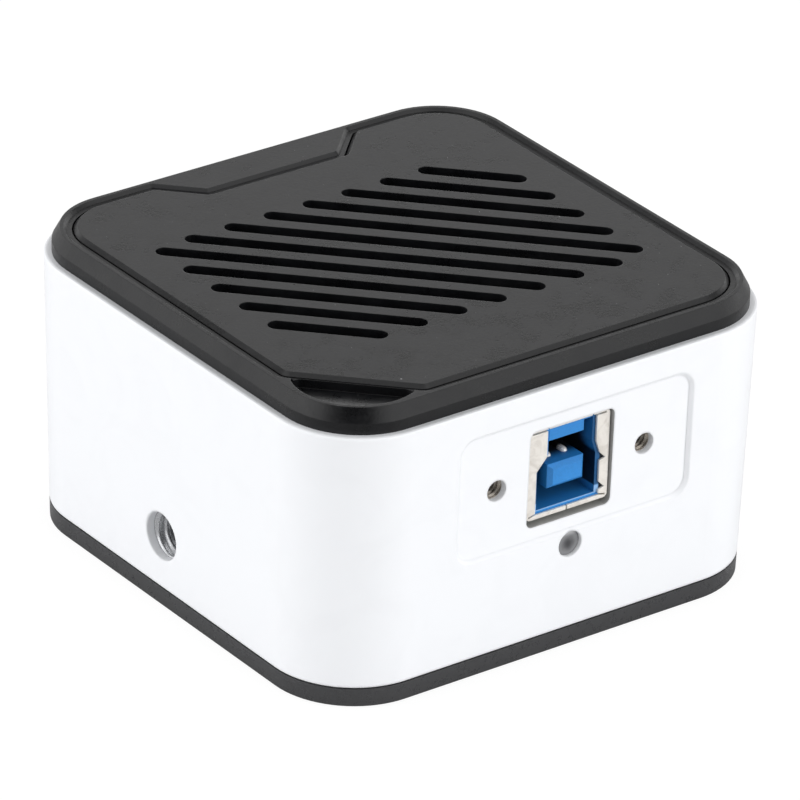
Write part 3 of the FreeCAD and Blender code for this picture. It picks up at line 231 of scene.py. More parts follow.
@dataclass
class EffectShelf:
    """Builds each shared node group once and hands it out."""

    broad_scale: float = 0.13
    wobble_scale: float = 9000.0
    least_dot: float = 0.35
    least_wobble: float = 0.5
    level_band: Band = (0.75, 0.95)
    edge_samples: int = 4
    edge_band: Band = (0.995, 0.8)
    smear_bend: float = 1.2
    smear_band: Band = (0.42, 0.68)
    ring_noise: float = 0.7
    ring_wave: float = 0.25
    made: dict[Effect, bpy.types.NodeTree] = field(default_factory=dict)

    def plans(self) -> dict[Effect, tuple[str, str, GroupMaker]]:
        """Gives the inputs, the outputs and the maker of each group."""
        return {
            Effect.GRAIN: ("Vector Pitch", "Height Tone", self.grain),
            Effect.SPECKS: ("Vector Spacing Radius Share", "Mask", self.specks),
            Effect.EDGES: ("Radius", "Normal Mask", self.edges),
            Effect.SMEARS: ("Vector Pitch", "Tone", self.smears),
            Effect.BLOCK: ("Vector Middle Half Soft", "Mask", self.block),
            Effect.RINGS: ("Radius Pitch", "Height", self.rings),
        }

    def get(self, effect: Effect) -> bpy.types.NodeTree:
        """Gives an effect's group, made at its first use.

        Args:
            effect: which group is wanted.

        Returns:
            The node group.
        """
        if effect not in self.made:
            inputs, outputs, maker = self.plans()[effect]
            tree = bpy.data.node_groups.new(effect.value, "ShaderNodeTree")
            for way, names in (("INPUT", inputs), ("OUTPUT", outputs)):
                for name in names.split():
                    kind = "Vector" if name in VECTOR_SOCKETS else "Float"
                    tree.interface.new_socket(name, in_out=way, socket_type="NodeSocket" + kind)
            wiring = Wiring(tree)
            given = tree.nodes.new("NodeGroupInput").outputs
            results = maker(wiring, {socket.name: socket for socket in given})
            out = tree.nodes.new("NodeGroupOutput")
            for name, value in results.items():
                wiring.put(out.inputs[name], value)
            self.made[effect] = tree
        return self.made[effect]

    def grain(self, wiring: Wiring, given: Sockets) -> Sockets:
        """Fine moulded grain: bumps about one pitch apart over a broader unevenness.

        Args:
            wiring: the group's nodes.
            given: the group's inputs.

        Returns:
            The group's outputs.
        """
        scale = wiring.sum("DIVIDE", 1.0, given["Pitch"])
        fine = wiring.noise(given["Vector"], scale, 2.0)
        broad = wiring.noise(given["Vector"], wiring.times(scale, self.broad_scale), 1.0)
        tone = wiring.plus(wiring.times(fine, 0.5), wiring.times(broad, 0.5))
        return {"Height": fine, "Tone": wiring.ramp(tone, *NOISE_BAND)}

    def specks(self, wiring: Wiring, given: Sockets) -> Sockets:
        """Dust on upward faces: a dot of uneven size in some cells of a grid seen from above.

        Args:
            wiring: the group's nodes.
            given: the group's inputs.

        Returns:
            The group's outputs.
        """
        wobble = wiring.noise(given["Vector"], self.wobble_scale, 1.0)
        scale = wiring.sum("DIVIDE", 1.0, given["Spacing"])
        cells = wiring.add("TexVoronoi", {"Vector": given["Vector"], "Scale": scale},
                           voronoi_dimensions="2D").outputs
        red, green, _ = wiring.split(cells["Color"])
        size = wiring.sum("DIVIDE", given["Radius"], given["Spacing"])
        size = wiring.times(size, wiring.plus(self.least_dot, green))
        size = wiring.times(size, wiring.plus(self.least_wobble, wobble))
        dot = wiring.sum("LESS_THAN", cells["Distance"], size)
        chosen = wiring.sum("LESS_THAN", red, given["Share"])
        upward = wiring.split(wiring.normal())[2]
        level = wiring.ramp(upward, *self.level_band)
        return {"Mask": wiring.times(wiring.times(dot, chosen), level)}

    def edges(self, wiring: Wiring, given: Sockets) -> Sockets:
        """Softened edges: the normal rounded over a radius, and where it differs from the face's.

        Args:
            wiring: the group's nodes.
            given: the group's inputs.

        Returns:
            The group's outputs.
        """
        bevel = wiring.add("Bevel", {"Radius": given["Radius"]}, samples=self.edge_samples)
        agree = wiring.facing(bevel.outputs[0], wiring.normal())
        return {"Normal": bevel.outputs[0], "Mask": wiring.ramp(agree, *self.edge_band)}

    def smears(self, wiring: Wiring, given: Sockets) -> Sockets:
        """Faint handling marks: a bent broad noise, sharpened into patches.

        Args:
            wiring: the group's nodes.
            given: the group's inputs.

        Returns:
            The group's outputs.
        """
        scale = wiring.sum("DIVIDE", 1.0, given["Pitch"])
        marks = wiring.add("TexNoise", {"Vector": given["Vector"], "Scale": scale, "Detail": 4.0,
                                        "Distortion": self.smear_bend})
        return {"Tone": wiring.ramp(marks.outputs[0], *self.smear_band)}

    def block(self, wiring: Wiring, given: Sockets) -> Sockets:
        """A mask that is 1 within an upright box and fades to 0 over a soft edge.

        Args:
            wiring: the group's nodes.
            given: the group's inputs.

        Returns:
            The group's outputs.
        """
        off = wiring.vector("SUBTRACT", given["Vector"], given["Middle"])
        over = wiring.vector("SUBTRACT", wiring.vector("ABSOLUTE", off), given["Half"])
        x, y, z = wiring.split(over)
        far = wiring.sum("MAXIMUM", wiring.sum("MAXIMUM", x, y), z)
        share = wiring.sum("DIVIDE", far, given["Soft"])
        return {"Mask": wiring.ramp(share, 0.5, -0.5)}

    def rings(self, wiring: Wiring, given: Sockets) -> Sockets:
        """Turning marks: a wave of the distance from an axis, made uneven by noise.

        Args:
            wiring: the group's nodes.
            given: the group's inputs.

        Returns:
            The group's outputs.
        """
        turns = wiring.sum("DIVIDE", given["Radius"], given["Pitch"])
        uneven = wiring.add("TexNoise", {"W": turns, "Scale": self.ring_noise, "Detail": 2.0},
                            noise_dimensions="1D")
        wave = wiring.sum("SINE", wiring.times(turns, math.tau))
        return {"Height": wiring.plus(wiring.times(wave, self.ring_wave), uneven.outputs[0])}


EFFECTS = EffectShelf()


class Coat(Wiring):
    """The nodes of one material: its surface shader and the shared effects placed in it."""

    def __init__(self, material: bpy.types.Material) -> None:
        """Clears the material and gives it a shader and the piece's own coordinates.

        Args:
            material: the material that is filled.
        """
        material.use_nodes = True
        material.node_tree.nodes.clear()
        super().__init__(material.node_tree)
        self.shader = self.add("BsdfPrincipled")
        self.put(self.add("OutputMaterial").inputs["Surface"], self.shader.outputs[0])
        self.place = self.own_place()

    def feed(self, name: str, value: Value) -> None:
        """Feeds one of the shader's inputs."""
        self.put(self.shader.inputs[name], value)

    def effect(self, effect: Effect, **inputs: Value) -> Sockets:
        """Places a shared effect on the piece's own coordinates.

        Args:
            effect: the shared group.
            inputs: what feeds the group, by socket name.

        Returns:
            The group's outputs.
        """
        node = self.add("Group", inputs, node_tree=EFFECTS.get(effect))
        if "Vector" in node.inputs:
            self.put(node.inputs["Vector"], self.place)
        return {socket.name: socket for socket in node.outputs}


# Finishes

MADE_FINISHES: dict[str, bpy.types.Material] = {}


@dataclass(frozen=True)
class Finish:
    """A finish: its name in the file and the values that its shader starts from."""

    name: str
    colour: Colour
    roughness: float = 0.45
    metallic: float = 0.0
    grain_pitch: float = 0.25 * MM
    grain_height: float = 0.004 * MM
    tone_share: float = 0.08
    edge_radius: float = 0.08 * MM
    # How much paler the edges are painted, and how strongly: a painted highlight along edges.
    edge_highlight: float = 0.06
    edge_highlight_share: float = 0.6

    def material(self) -> bpy.types.Material:
        """Makes the finish's material, or gives the one already made."""
        if self.name not in MADE_FINISHES:
            material = bpy.data.materials.new(f"{self.name}_finish")
            coat = Coat(material)
            coat.feed("Metallic", self.metallic)
            coat.feed("Roughness", self.roughness)
            coat.feed("Base Color", self.colour)
            self.dress(coat)
            MADE_FINISHES[self.name] = material
        return MADE_FINISHES[self.name]

    def relief(self, coat: Coat, height: Socket) -> Socket:
        """Feeds the shader's normal with a relief on softened edges.

        Args:
            coat: the material's nodes.
            height: the relief, about 0 to 1.

        Returns:
            The mask of the edges.
        """
        edges = coat.effect(Effect.EDGES, Radius=self.edge_radius)
        bump = coat.add("Bump", {"Height": height, "Normal": edges["Normal"], "Strength": 1.0,
                                 "Distance": self.grain_height})
        coat.feed("Normal", bump.outputs[0])
        return edges["Mask"]

    def tint(self, share: float) -> Colour:
        """Gives the finish's colour times a share."""
        return tuple(part * share for part in self.colour)

    def mottled(self, coat: Coat, share: Socket) -> Socket:
        """Gives the finish's colour, from darker to lighter by a share of 0 to 1."""
        return coat.mix(share, self.tint(1 - self.tone_share), self.tint(1 + self.tone_share))

    def edged(self, coat: Coat, tone: Socket, edges: Socket) -> Socket:
        """Gives a colour that is lighter on the edges: a painted highlight."""
        light = tuple(min(part + self.edge_highlight, PALEST_EDGE_HIGHLIGHT) for part in self.colour)
        return coat.mix(coat.times(edges, self.edge_highlight_share), tone, light)

    def dress(self, coat: Coat) -> None:
        """Adds the varying parts: grain in tone, roughness and relief, and a painted edge
        highlight.

        Args:
            coat: the material's nodes.
        """
        grain = coat.effect(Effect.GRAIN, Pitch=self.grain_pitch)
        edges = self.relief(coat, grain["Height"])
        coat.feed("Base Color", self.edged(coat, self.mottled(coat, grain["Tone"]), edges))
        low, high = (self.roughness * (1 + sign * self.tone_share) for sign in (-1, 1))
        coat.feed("Roughness", coat.between(grain["Tone"], low, high))

    def cover(self, *nodes: str) -> None:
        """Puts the finish on modelled nodes.

        Args:
            nodes: the names of the nodes.
        """
        for name in nodes:
            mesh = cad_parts[name].data
            mesh.materials.clear()
            mesh.materials.append(self.material())
            log.info("%s has the finish %s", name, self.name)


@dataclass(frozen=True)
class CasePaint(Finish):
    """White satin paint, greyer on the ledge, bare in the port's opening, painted shade inside."""

    fine_pitch: float = 0.12 * MM
    fine_share: float = 0.12
    mark_pitch: float = 9 * MM
    mark_rough: float = 0.1
    ledge: Colour = (0.63, 0.642, 0.66)
    ledge_band: Band = (37.05 * MM, 37.15 * MM)
    ledge_tilt: Band = (0.5, 0.9)
    corner_band: Band = (54 * MM, 61 * MM)
    corner_tint: float = 0.86
    # Painted shade: near black for the housing's interior, where no light reaches.
    inside_shade: Colour = (0.02, 0.02, 0.021)
    hollow_middle: Spot = (0.0, 0.0, 20.0 * MM)
    hollow_half: Spot = (33.3 * MM, 33.3 * MM, 19.0 * MM)
    hollow_soft: float = 0.3 * MM
    hollow_slant: Band = (60.0 * MM, 59.75 * MM)
    bare: Colour = (0.44, 0.44, 0.435)
    bare_share: float = 0.8
    opening_middle: Spot = (1.23 * MM, -32.9 * MM, 24.7 * MM)
    opening_half: Spot = (6.6 * MM, 1.8 * MM, 6.8 * MM)
    opening_soft: float = 0.02 * MM
    wall_slope: float = 0.0186
    recess_band: Band = (-33.808 * MM, -33.778 * MM)

    def dress(self, coat: Coat) -> None:
        """Adds slight orange peel, faint handling marks, the bare opening and painted shade
        inside.

        Args:
            coat: the material's nodes.
        """
        x, y, z = coat.split(coat.place)
        slant = coat.plus(coat.size(x), coat.size(y))
        peel = coat.noise(coat.place, 1 / self.grain_pitch, 2.0)
        fine = coat.effect(Effect.GRAIN, Pitch=self.fine_pitch)
        self.relief(coat, coat.plus(peel, coat.times(fine["Height"], self.fine_share)))
        marks = coat.effect(Effect.SMEARS, Pitch=self.mark_pitch)["Tone"]
        tone = coat.mix(marks, self.colour, self.tint(1 - self.tone_share))
        upward = coat.split(coat.normal())[2]
        top = coat.times(coat.ramp(z, *self.ledge_band), coat.ramp(upward, *self.ledge_tilt))
        shade = coat.mix(coat.ramp(slant, *self.corner_band), self.ledge,
                         self.tint(self.corner_tint))
        tone = coat.mix(top, tone, shade)
        # Painted shade: the interior of the housing, within the hollow block and away from its
        # corners, is coloured near black.
        hollow = coat.effect(Effect.BLOCK, Middle=self.hollow_middle, Half=self.hollow_half,
                             Soft=self.hollow_soft)["Mask"]
        hollow = coat.times(hollow, coat.ramp(slant, *self.hollow_slant))
        tone = coat.mix(hollow, tone, self.inside_shade)
        opening = coat.effect(Effect.BLOCK, Middle=self.opening_middle, Half=self.opening_half,
                              Soft=self.opening_soft)["Mask"]
        leaning = coat.plus(y, coat.times(z, self.wall_slope))
        opening = coat.times(opening, coat.ramp(leaning, *self.recess_band))
        cast = coat.mix(fine["Tone"], self.bare,
                        tuple(self.bare_share * part for part in self.bare))
        coat.feed("Base Color", coat.mix(opening, tone, cast))
        coat.feed("Roughness", coat.between(marks, self.roughness,
                                            self.roughness + self.mark_rough))


@dataclass(frozen=True)
class CoverMoulding(Finish):
    """Black moulding with a fine texture, a few dust specks and faint smears."""

    edge_highlight_share: float = 0.5
    rough_swing: float = 0.05
    mark_pitch: float = 14 * MM
    mark_share: float = 0.25
    mark_tint: float = 1.4
    mark_rough: float = 0.06
    dust: Colour = (0.34, 0.34, 0.35)
    dust_rough: float = 0.9
    # Spacing, radius, share of the cells that have a speck, and strength, for each size.
    dust_sizes: tuple[tuple[float, float, float, float], ...] = (
        (7 * MM, 0.085 * MM, 0.3, 1.0), (2.6 * MM, 0.05 * MM, 0.25, 0.6))

    def dress(self, coat: Coat) -> None:
        """Adds the moulded texture, dust in two sizes, handling marks and paler edges.

        Args:
            coat: the material's nodes.
        """
        grain = coat.effect(Effect.GRAIN, Pitch=self.grain_pitch)
        edges = self.relief(coat, grain["Height"])
        marks = coat.effect(Effect.SMEARS, Pitch=self.mark_pitch)["Tone"]
        tone = self.mottled(coat, grain["Tone"])
        tone = coat.mix(coat.times(marks, self.mark_share), tone, self.tint(self.mark_tint))
        tone = self.edged(coat, tone, edges)
        specks = [coat.times(coat.effect(Effect.SPECKS, Spacing=spacing, Radius=radius,
                                         Share=share)["Mask"], strength)
                  for spacing, radius, share, strength in self.dust_sizes]
        dusty = coat.sum("MAXIMUM", *specks)
        coat.feed("Base Color", coat.mix(dusty, tone, self.dust))
        rough = coat.between(grain["Tone"], self.roughness - self.rough_swing,
                             self.roughness + self.rough_swing)
        rough = coat.plus(rough, coat.times(marks, self.mark_rough))
        coat.feed("Roughness", coat.sum("MAXIMUM", rough, coat.times(dusty, self.dust_rough)))


@dataclass(frozen=True)
class PlateFinish(Finish):
    """Black anodised plate with turning marks round the mount."""

    edge_highlight_share: float = 0.4
    rough_swing: float = 0.06
    ring_pitch: float = 0.18 * MM
    ring_share: float = 0.5
    ring_band: Band = (15.2 * MM, 14.7 * MM)

    def dress(self, coat: Coat) -> None:
        """Adds blasted grain, turning marks near the mount and paler edges.

        Args:
            coat: the material's nodes.
        """
        x, y, _ = coat.split(coat.place)
        radius = coat.reach(x, y)
        grain = coat.effect(Effect.GRAIN, Pitch=self.grain_pitch)
        rings = coat.effect(Effect.RINGS, Radius=radius, Pitch=self.ring_pitch)["Height"]
        near = coat.times(rings, coat.ramp(radius, *self.ring_band))
        edges = self.relief(coat, coat.plus(grain["Height"], coat.times(near, self.ring_share)))
        coat.feed("Base Color", self.edged(coat, self.mottled(coat, grain["Tone"]), edges))
        coat.feed("Roughness", coat.between(grain["Tone"], self.roughness - self.rough_swing,
                                            self.roughness + self.rough_swing))


@dataclass(frozen=True)
class SheetMetal(Finish):
    """Plated or bare metal with fine drawn lines along one direction."""

    # Strong painted highlight on metal edges, where a bent sheet rounds over.
    edge_highlight_share: float = 0.8
    stretch: Spot = (1.0, 1.0, 0.06)
    line_pitch: float = 0.08 * MM
    rough_shares: Band = (0.8, 1.25)
    mark_pitch: float = 2.2 * MM
    stain: Colour = (0.42, 0.37, 0.31)
    stain_share: float = 0.3

    def dress(self, coat: Coat) -> None:
        """Adds the drawn lines, a mottled plating and darker spots.

        Args:
            coat: the material's nodes.
        """
        drawn = coat.add("Mapping", {"Vector": coat.place, "Scale": self.stretch}).outputs[0]
        lines = coat.noise(drawn, 1 / self.line_pitch, 3.0)
        grain = coat.effect(Effect.GRAIN, Pitch=self.grain_pitch)
        edges = self.relief(coat, lines)
        marks = coat.effect(Effect.SMEARS, Pitch=self.mark_pitch)["Tone"]
        tone = self.mottled(coat, grain["Tone"])
        tone = coat.mix(coat.times(marks, self.stain_share), tone, self.stain)
        coat.feed("Base Color", self.shade(coat, self.edged(coat, tone, edges)))
        low, high = (self.roughness * share for share in self.rough_shares)
        coat.feed("Roughness", coat.ramp(lines, *NOISE_BAND, low, high))

    def shade(self, coat: Coat, tone: Socket) -> Socket:
        """Gives the metal's colour as it is; kinds that lie in a hollow paint shade on it."""
        return tone


@dataclass(frozen=True)
class ContactPlating(SheetMetal):
    """Plating of the port's contacts: plain at their noses, darkened by painted shade behind."""

    nose_band: Band = (-30.9 * MM, -30.2 * MM)
    # Painted shade: the plating falls to this share of its colour behind the nose.
    shade_tint: float = 0.01

    def shade(self, coat: Coat, tone: Socket) -> Socket:
        """Paints shade on the plating from the nose's end inwards."""
        inward_shade = coat.ramp(coat.split(coat.place)[1], *self.nose_band)
        return coat.mix(inward_shade, tone, self.tint(self.shade_tint))


@dataclass(frozen=True)
class PortMoulding(Finish):
    """Coloured moulding: plain at the front, painted shade in the port, a painted lip highlight.
    """

    edge_highlight_share: float = 0.5
    middle: float = 1.15 * MM
    block_band: Band = (-33.45 * MM, -33.4 * MM)
    wall_band: Band = (3.3 * MM, 3.6 * MM)
    # Painted shade on the port's side walls: the front ring, the low walls behind, the walls above
    # the shoulder.
    front_wall_shade: float = 0.42
    low_wall_shade: float = 0.06
    high_wall_shade: float = 0.62
    shoulder_band: Band = (25.2 * MM, 26.0 * MM)
    floor_band: Band = (20.9 * MM, 20.6 * MM)
    floor_tint: float = 0.85
    # Painted highlight along the lower lip of the port's front face.
    lip_highlight_band: Band = (19.7 * MM, 19.78 * MM)
    lip_highlight_tone: Colour = (0.26, 0.48, 0.8)
    # Painted shade that deepens into the port; the floor keeps more of its tone.
    depth_band: Band = (-32.6 * MM, -30.4 * MM)
    depth_shade_tint: float = 0.015
    depth_floor: float = 0.25
    depth_rough: float = 0.7
    # Painted shade on the moulding under the shell's flanges.
    flange_band: Band = (5.0 * MM, 5.2 * MM)
    flange_shade_tint: float = 0.03
    grain_rough: float = 0.05

    def dress(self, coat: Coat) -> None:
        """Adds grain, paler edges, painted shade (walls, depth, flanges) and a painted lip
        highlight.

        Args:
            coat: the material's nodes.
        """
        x, y, z = coat.split(coat.place)
        grain = coat.effect(Effect.GRAIN, Pitch=self.grain_pitch)
        edges = self.relief(coat, grain["Height"])
        tone = self.edged(coat, self.mottled(coat, grain["Tone"]), edges)
        aside = coat.size(coat.sum("SUBTRACT", x, self.middle))
        behind = coat.ramp(y, *self.block_band)
        outward = coat.ramp(aside, *self.wall_band)
        # Painted shade on the side walls of the cavity.
        wall = coat.mix(coat.ramp(z, *self.shoulder_band), self.tint(self.low_wall_shade),
                        self.tint(self.high_wall_shade))
        wall = coat.mix(behind, self.tint(self.front_wall_shade), wall)
        low = coat.ramp(z, *self.floor_band)
        floor = coat.times(low, behind)
        tone = coat.mix(coat.times(outward, coat.between(low, 1.0, 0.0)), tone, wall)
        tone = coat.mix(floor, tone, self.tint(self.floor_tint))
        # Painted highlight: a pale strip along the lower lip.
        lip_highlight = coat.times(coat.ramp(z, *self.lip_highlight_band),
                         coat.times(low, coat.between(behind, 1.0, 0.0)))
        tone = coat.mix(lip_highlight, tone, self.lip_highlight_tone)
        # Painted shade, deepening into the port.
        deep_shade = coat.times(coat.ramp(y, *self.depth_band),
                          coat.between(floor, 1.0, self.depth_floor))
        tone = coat.mix(deep_shade, tone, self.tint(self.depth_shade_tint))
        # Painted shade: nearly black under the flanges.
        flange_shade = coat.ramp(aside, *self.flange_band)
        coat.feed("Base Color", coat.mix(flange_shade, tone, self.tint(self.flange_shade_tint)))
        rough = coat.ramp(y, *self.depth_band, self.roughness, self.depth_rough)
        coat.feed("Roughness", coat.plus(rough, coat.times(grain["Tone"], self.grain_rough)))


@dataclass(frozen=True)
class ScrewSteel(Finish):
    """Blackened steel with turning marks round each of four screws set in a square."""

    # Full-strength painted highlight on the screws' edges.
    edge_highlight_share: float = 1.0
    screw_place: float = 27.4 * MM
    ring_pitch: float = 0.11 * MM
    grain_share: float = 0.4
    rough_band: Band = (0.2, 0.9)
    rough_swing: Band = (-0.08, 0.1)

    def dress(self, coat: Coat) -> None:
        """Adds rings about each screw's axis, grain and a painted highlight on the edges.

        Args:
            coat: the material's nodes.
        """
        x, y, _ = coat.split(coat.place)
        radius = coat.reach(*(coat.sum("SUBTRACT", coat.size(part), self.screw_place)
                              for part in (x, y)))
        rings = coat.effect(Effect.RINGS, Radius=radius, Pitch=self.ring_pitch)["Height"]
        grain = coat.effect(Effect.GRAIN, Pitch=self.grain_pitch)
        edges = self.relief(coat, coat.plus(rings, coat.times(grain["Height"], self.grain_share)))
        coat.feed("Base Color", self.edged(coat, self.mottled(coat, grain["Tone"]), edges))
        low, high = (self.roughness + swing for swing in self.rough_swing)
        coat.feed("Roughness", coat.ramp(rings, *self.rough_band, low, high))


@dataclass(frozen=True)
class MilkyPipe(Finish):
    """Milky rod end: smoky in the middle, paler towards its rim, a painted highlight at its top.
    """

    middle: Spot = (1.5 * MM, 0.0, 14.15 * MM)
    core: Colour = (0.05, 0.05, 0.055)
    core_band: Band = (0.35 * MM, 1.7 * MM)
    # Painted highlight: the rod end turns paler towards its top.
    top: Colour = (0.5, 0.5, 0.51)
    top_band: Band = (0.9 * MM, 1.8 * MM)
    haze_scale: float = 1500.0
    haze_shift: float = 0.5 * MM
    haze_rough: Band = (0.3, 0.42)

    def dress(self, coat: Coat) -> None:
        """Adds the change of tone with the distance from the rod's axis, and a fine haze.

        Args:
            coat: the material's nodes.
        """
        x, _, z = coat.split(coat.vector("SUBTRACT", coat.place, self.middle))
        haze = coat.noise(coat.place, self.haze_scale, 3.0)
        away = coat.plus(coat.reach(x, z), coat.times(haze, self.haze_shift))
        tone = coat.mix(coat.ramp(away, *self.core_band), self.core, self.colour)
        # Painted highlight towards the top of the rod end.
        coat.feed("Base Color", coat.mix(coat.ramp(z, *self.top_band), tone, self.top))
        self.relief(coat, haze)
        coat.feed("Roughness", coat.ramp(haze, *NOISE_BAND, *self.haze_rough))


@dataclass(frozen=True)
class CoatedGlass(Finish):
    """Glass with faint wiping marks on its coating."""

    index: float = 1.52
    mark_pitch: float = 5 * MM
    mark_rough: float = 0.05
    mark_tint: float = 0.97

    def dress(self, coat: Coat) -> None:
        """Adds the glass values and marks that change the gloss and a little of the tint.

        Args:
            coat: the material's nodes.
        """
        coat.feed("Transmission Weight", 1.0)
        coat.feed("IOR", self.index)
        marks = coat.effect(Effect.SMEARS, Pitch=self.mark_pitch)["Tone"]
        coat.feed("Roughness", coat.between(marks, self.roughness,
                                            self.roughness + self.mark_rough))
        coat.feed("Base Color", coat.mix(marks, self.colour, self.tint(self.mark_tint)))


@dataclass(frozen=True)
class BoardMask(Finish):
    """Solder-masked board: tracks in a slightly paler green and small plated dots."""

    track: Colour = (0.03, 0.15, 0.07)
    track_width: float = 0.16 * MM
    track_blur: float = 0.1
    track_length: float = 4.2 * MM
    track_pitch: float = 0.9 * MM
    plating: Colour = (0.55, 0.47, 0.27)
    plating_rough: float = 0.25
    dot_pitch: float = 1.7 * MM
    dot_radius: float = 0.16
    hole_radius: float = 0.07
    hole: Colour = (0.01, 0.012, 0.01)

    def dress(self, coat: Coat) -> None:
        """Adds tracks along both directions, plated dots and the mask's slight unevenness.

        Args:
            coat: the material's nodes.
        """
        tracks = coat.add("TexBrick", {
            "Vector": coat.place, "Scale": 1.0, "Color1": BLACK, "Color2": BLACK, "Mortar": WHITE,
            "Mortar Size": self.track_width, "Mortar Smooth": self.track_blur,
            "Brick Width": self.track_length, "Row Height": self.track_pitch}).outputs["Color"]
        dots = coat.add("TexVoronoi", {"Vector": coat.place, "Scale": 1 / self.dot_pitch},
                        voronoi_dimensions="2D").outputs["Distance"]
        ring = coat.sum("LESS_THAN", dots, self.dot_radius)
        hole = coat.sum("LESS_THAN", dots, self.hole_radius)
        tone = coat.mix(ring, coat.mix(tracks, self.colour, self.track), self.plating)
        coat.feed("Base Color", coat.mix(hole, tone, self.hole))
        coat.feed("Metallic", coat.sum("SUBTRACT", ring, hole, clamp=True))
        self.relief(coat, tracks)
        coat.feed("Roughness", coat.between(ring, self.roughness, self.plating_rough))


@dataclass(frozen=True)
class SensorSurface(Finish):
    """The sensor's light-sensitive face: a fine grid with a drifting tint, in a dark frame."""

    field_half: Spot = (3.7 * MM, 2.8 * MM, 1.0)
    field_soft: float = 0.03 * MM
    frame_tone: Colour = (0.35, 0.28, 0.13)
    frame_rough: float = 0.4
    drift_scale: float = 160.0
    drift_tones: tuple[Colour, Colour] = ((0.05, 0.09, 0.13), (0.13, 0.06, 0.12))
    grid_pitch: float = 0.05 * MM

    def dress(self, coat: Coat) -> None:
        """Adds the grid, the drifting tint and the frame round the field.

        Args:
            coat: the material's nodes.
        """
        inner = coat.effect(Effect.BLOCK, Middle=ORIGIN, Half=self.field_half,
                            Soft=self.field_soft)["Mask"]
        tint = coat.mix(coat.noise(coat.place, self.drift_scale, 1.0), *self.drift_tones)
        grid = coat.add("TexChecker", {"Vector": coat.place, "Scale": 1 / self.grid_pitch})
        coat.feed("Base Color", coat.mix(inner, self.frame_tone, tint))
        self.relief(coat, grid.outputs["Fac"])
        coat.feed("Roughness", coat.between(inner, self.frame_rough, self.roughness))


# Surfaces worked out as arrays

class Shape:
    """Turns arrays of points into closed meshes."""

    @staticmethod
    def quads(rings: int, around: int, closed: bool) -> np.ndarray:
        """Faces between neighbouring rings of points, each ring joined to itself.

        Args:
            rings: how many rings there are.
            around: how many points each ring has.
            closed: True joins the last ring to the first.

        Returns:
            The corners of the faces, four to a row.
        """
        steps = rings if closed else rings - 1
        ring, spot = np.meshgrid(np.arange(steps), np.arange(around), indexing="ij")
        ahead, beside = (ring + 1) % rings, (spot + 1) % around
        corners = (ring * around + spot, ring * around + beside,
                   ahead * around + beside, ahead * around + spot)
        return np.stack(corners, axis=-1).reshape(-1, 4)

    @classmethod
    def faces(cls, grid: Points, closed: bool, start: int) -> list[list[int]]:
        """Faces over rings of points, turned outwards; open ends get one face each.

        The enclosed volume is the sum over triangles of corner . (corner x corner) / 6, and
        its sign tells whether the faces have to be turned.

        Args:
            grid: points by ring and by place in the ring.
            closed: True joins the last ring to the first.
            start: the number of the first point.

        Returns:
            The corners of each face.
        """
        rings, around, _ = grid.shape
        points = grid.reshape(-1, 3)
        quads = cls.quads(rings, around, closed)
        a, b, c, d = (points[quads[:, i]] for i in range(4))
        volume = sum(np.einsum("ij,ij->", a, np.cross(*pair)) for pair in ((b, c), (c, d)))
        faces = (start + quads).tolist()
        if not closed:
            for ring, sign in ((0, -1), (rings - 1, 1)):
                loop = grid[ring]
                cross = np.cross(loop, np.roll(loop, -1, 0))
                volume += sign * np.einsum("j,ij->", loop.mean(0), cross)
                corners = start + ring * around + np.arange(around)
                faces.append(corners[::sign].tolist())
        return [face[::-1] for face in faces] if volume < 0 else faces

    @staticmethod
    def solid(name: str, points: list, faces: list, smooth: bool = True) -> bpy.types.Object:
        """Makes an object and puts it in the scene.

        Args:
            name: the object's name.
            points: its points.
            faces: the corners of its faces.
            smooth: True shades across the edges.

        Returns:
            The new object.
        """
        mesh = bpy.data.meshes.new(name)
        mesh.from_pydata(points, [], faces)
        mesh.polygons.foreach_set("use_smooth", np.full(len(faces), smooth))
        mesh.update()
        piece = bpy.data.objects.new(name, mesh)
        bpy.context.scene.collection.objects.link(piece)
        return piece

    @classmethod
    def loft(cls, name: str, *grids: Points, closed: bool = False,
             smooth: bool = True) -> bpy.types.Object:
        """Makes one object from one or more stacks of rings that lie apart.

        Args:
            name: the object's name.
            grids: for each stack, points by ring and by place in the ring.
            closed: True joins the last ring of a stack to its first.
            smooth: True shades across the edges.

        Returns:
            The new object.
        """
        points: list = []
        faces: list = []
        for grid in grids:
            faces += cls.faces(grid, closed, len(points))
            points += grid.reshape(-1, 3).tolist()
        return cls.solid(name, points, faces, smooth)

    @staticmethod
    def settle(piece: bpy.types.Object, finish: Finish, slot: str) -> None:
        """Gives a new piece its finish and body.

        Args:
            piece: the new piece.
            finish: what it looks like.
            slot: the record's material slot; not used.
        """
        piece.data.materials.append(finish.material())
        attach(piece, BODY)
        log.info("%s made with %d faces", piece.name, len(piece.data.polygons))


class Axis(Enum):
    """The way that a bore runs, from its mouth inwards."""

    INTO_X = (1.0, 0.0, 0.0)
    INTO_Y = (0.0, 1.0, 0.0)
    INTO_Z = (0.0, 0.0, 1.0)

    def directions(self) -> tuple[Points, Points, Points]:
        """Gives the bore's direction and two directions square to it."""
        forward = np.array(self.value)
        side = np.array((Axis.INTO_X if self is Axis.INTO_Z else Axis.INTO_Z).value)
        return forward, side, np.cross(forward, side)


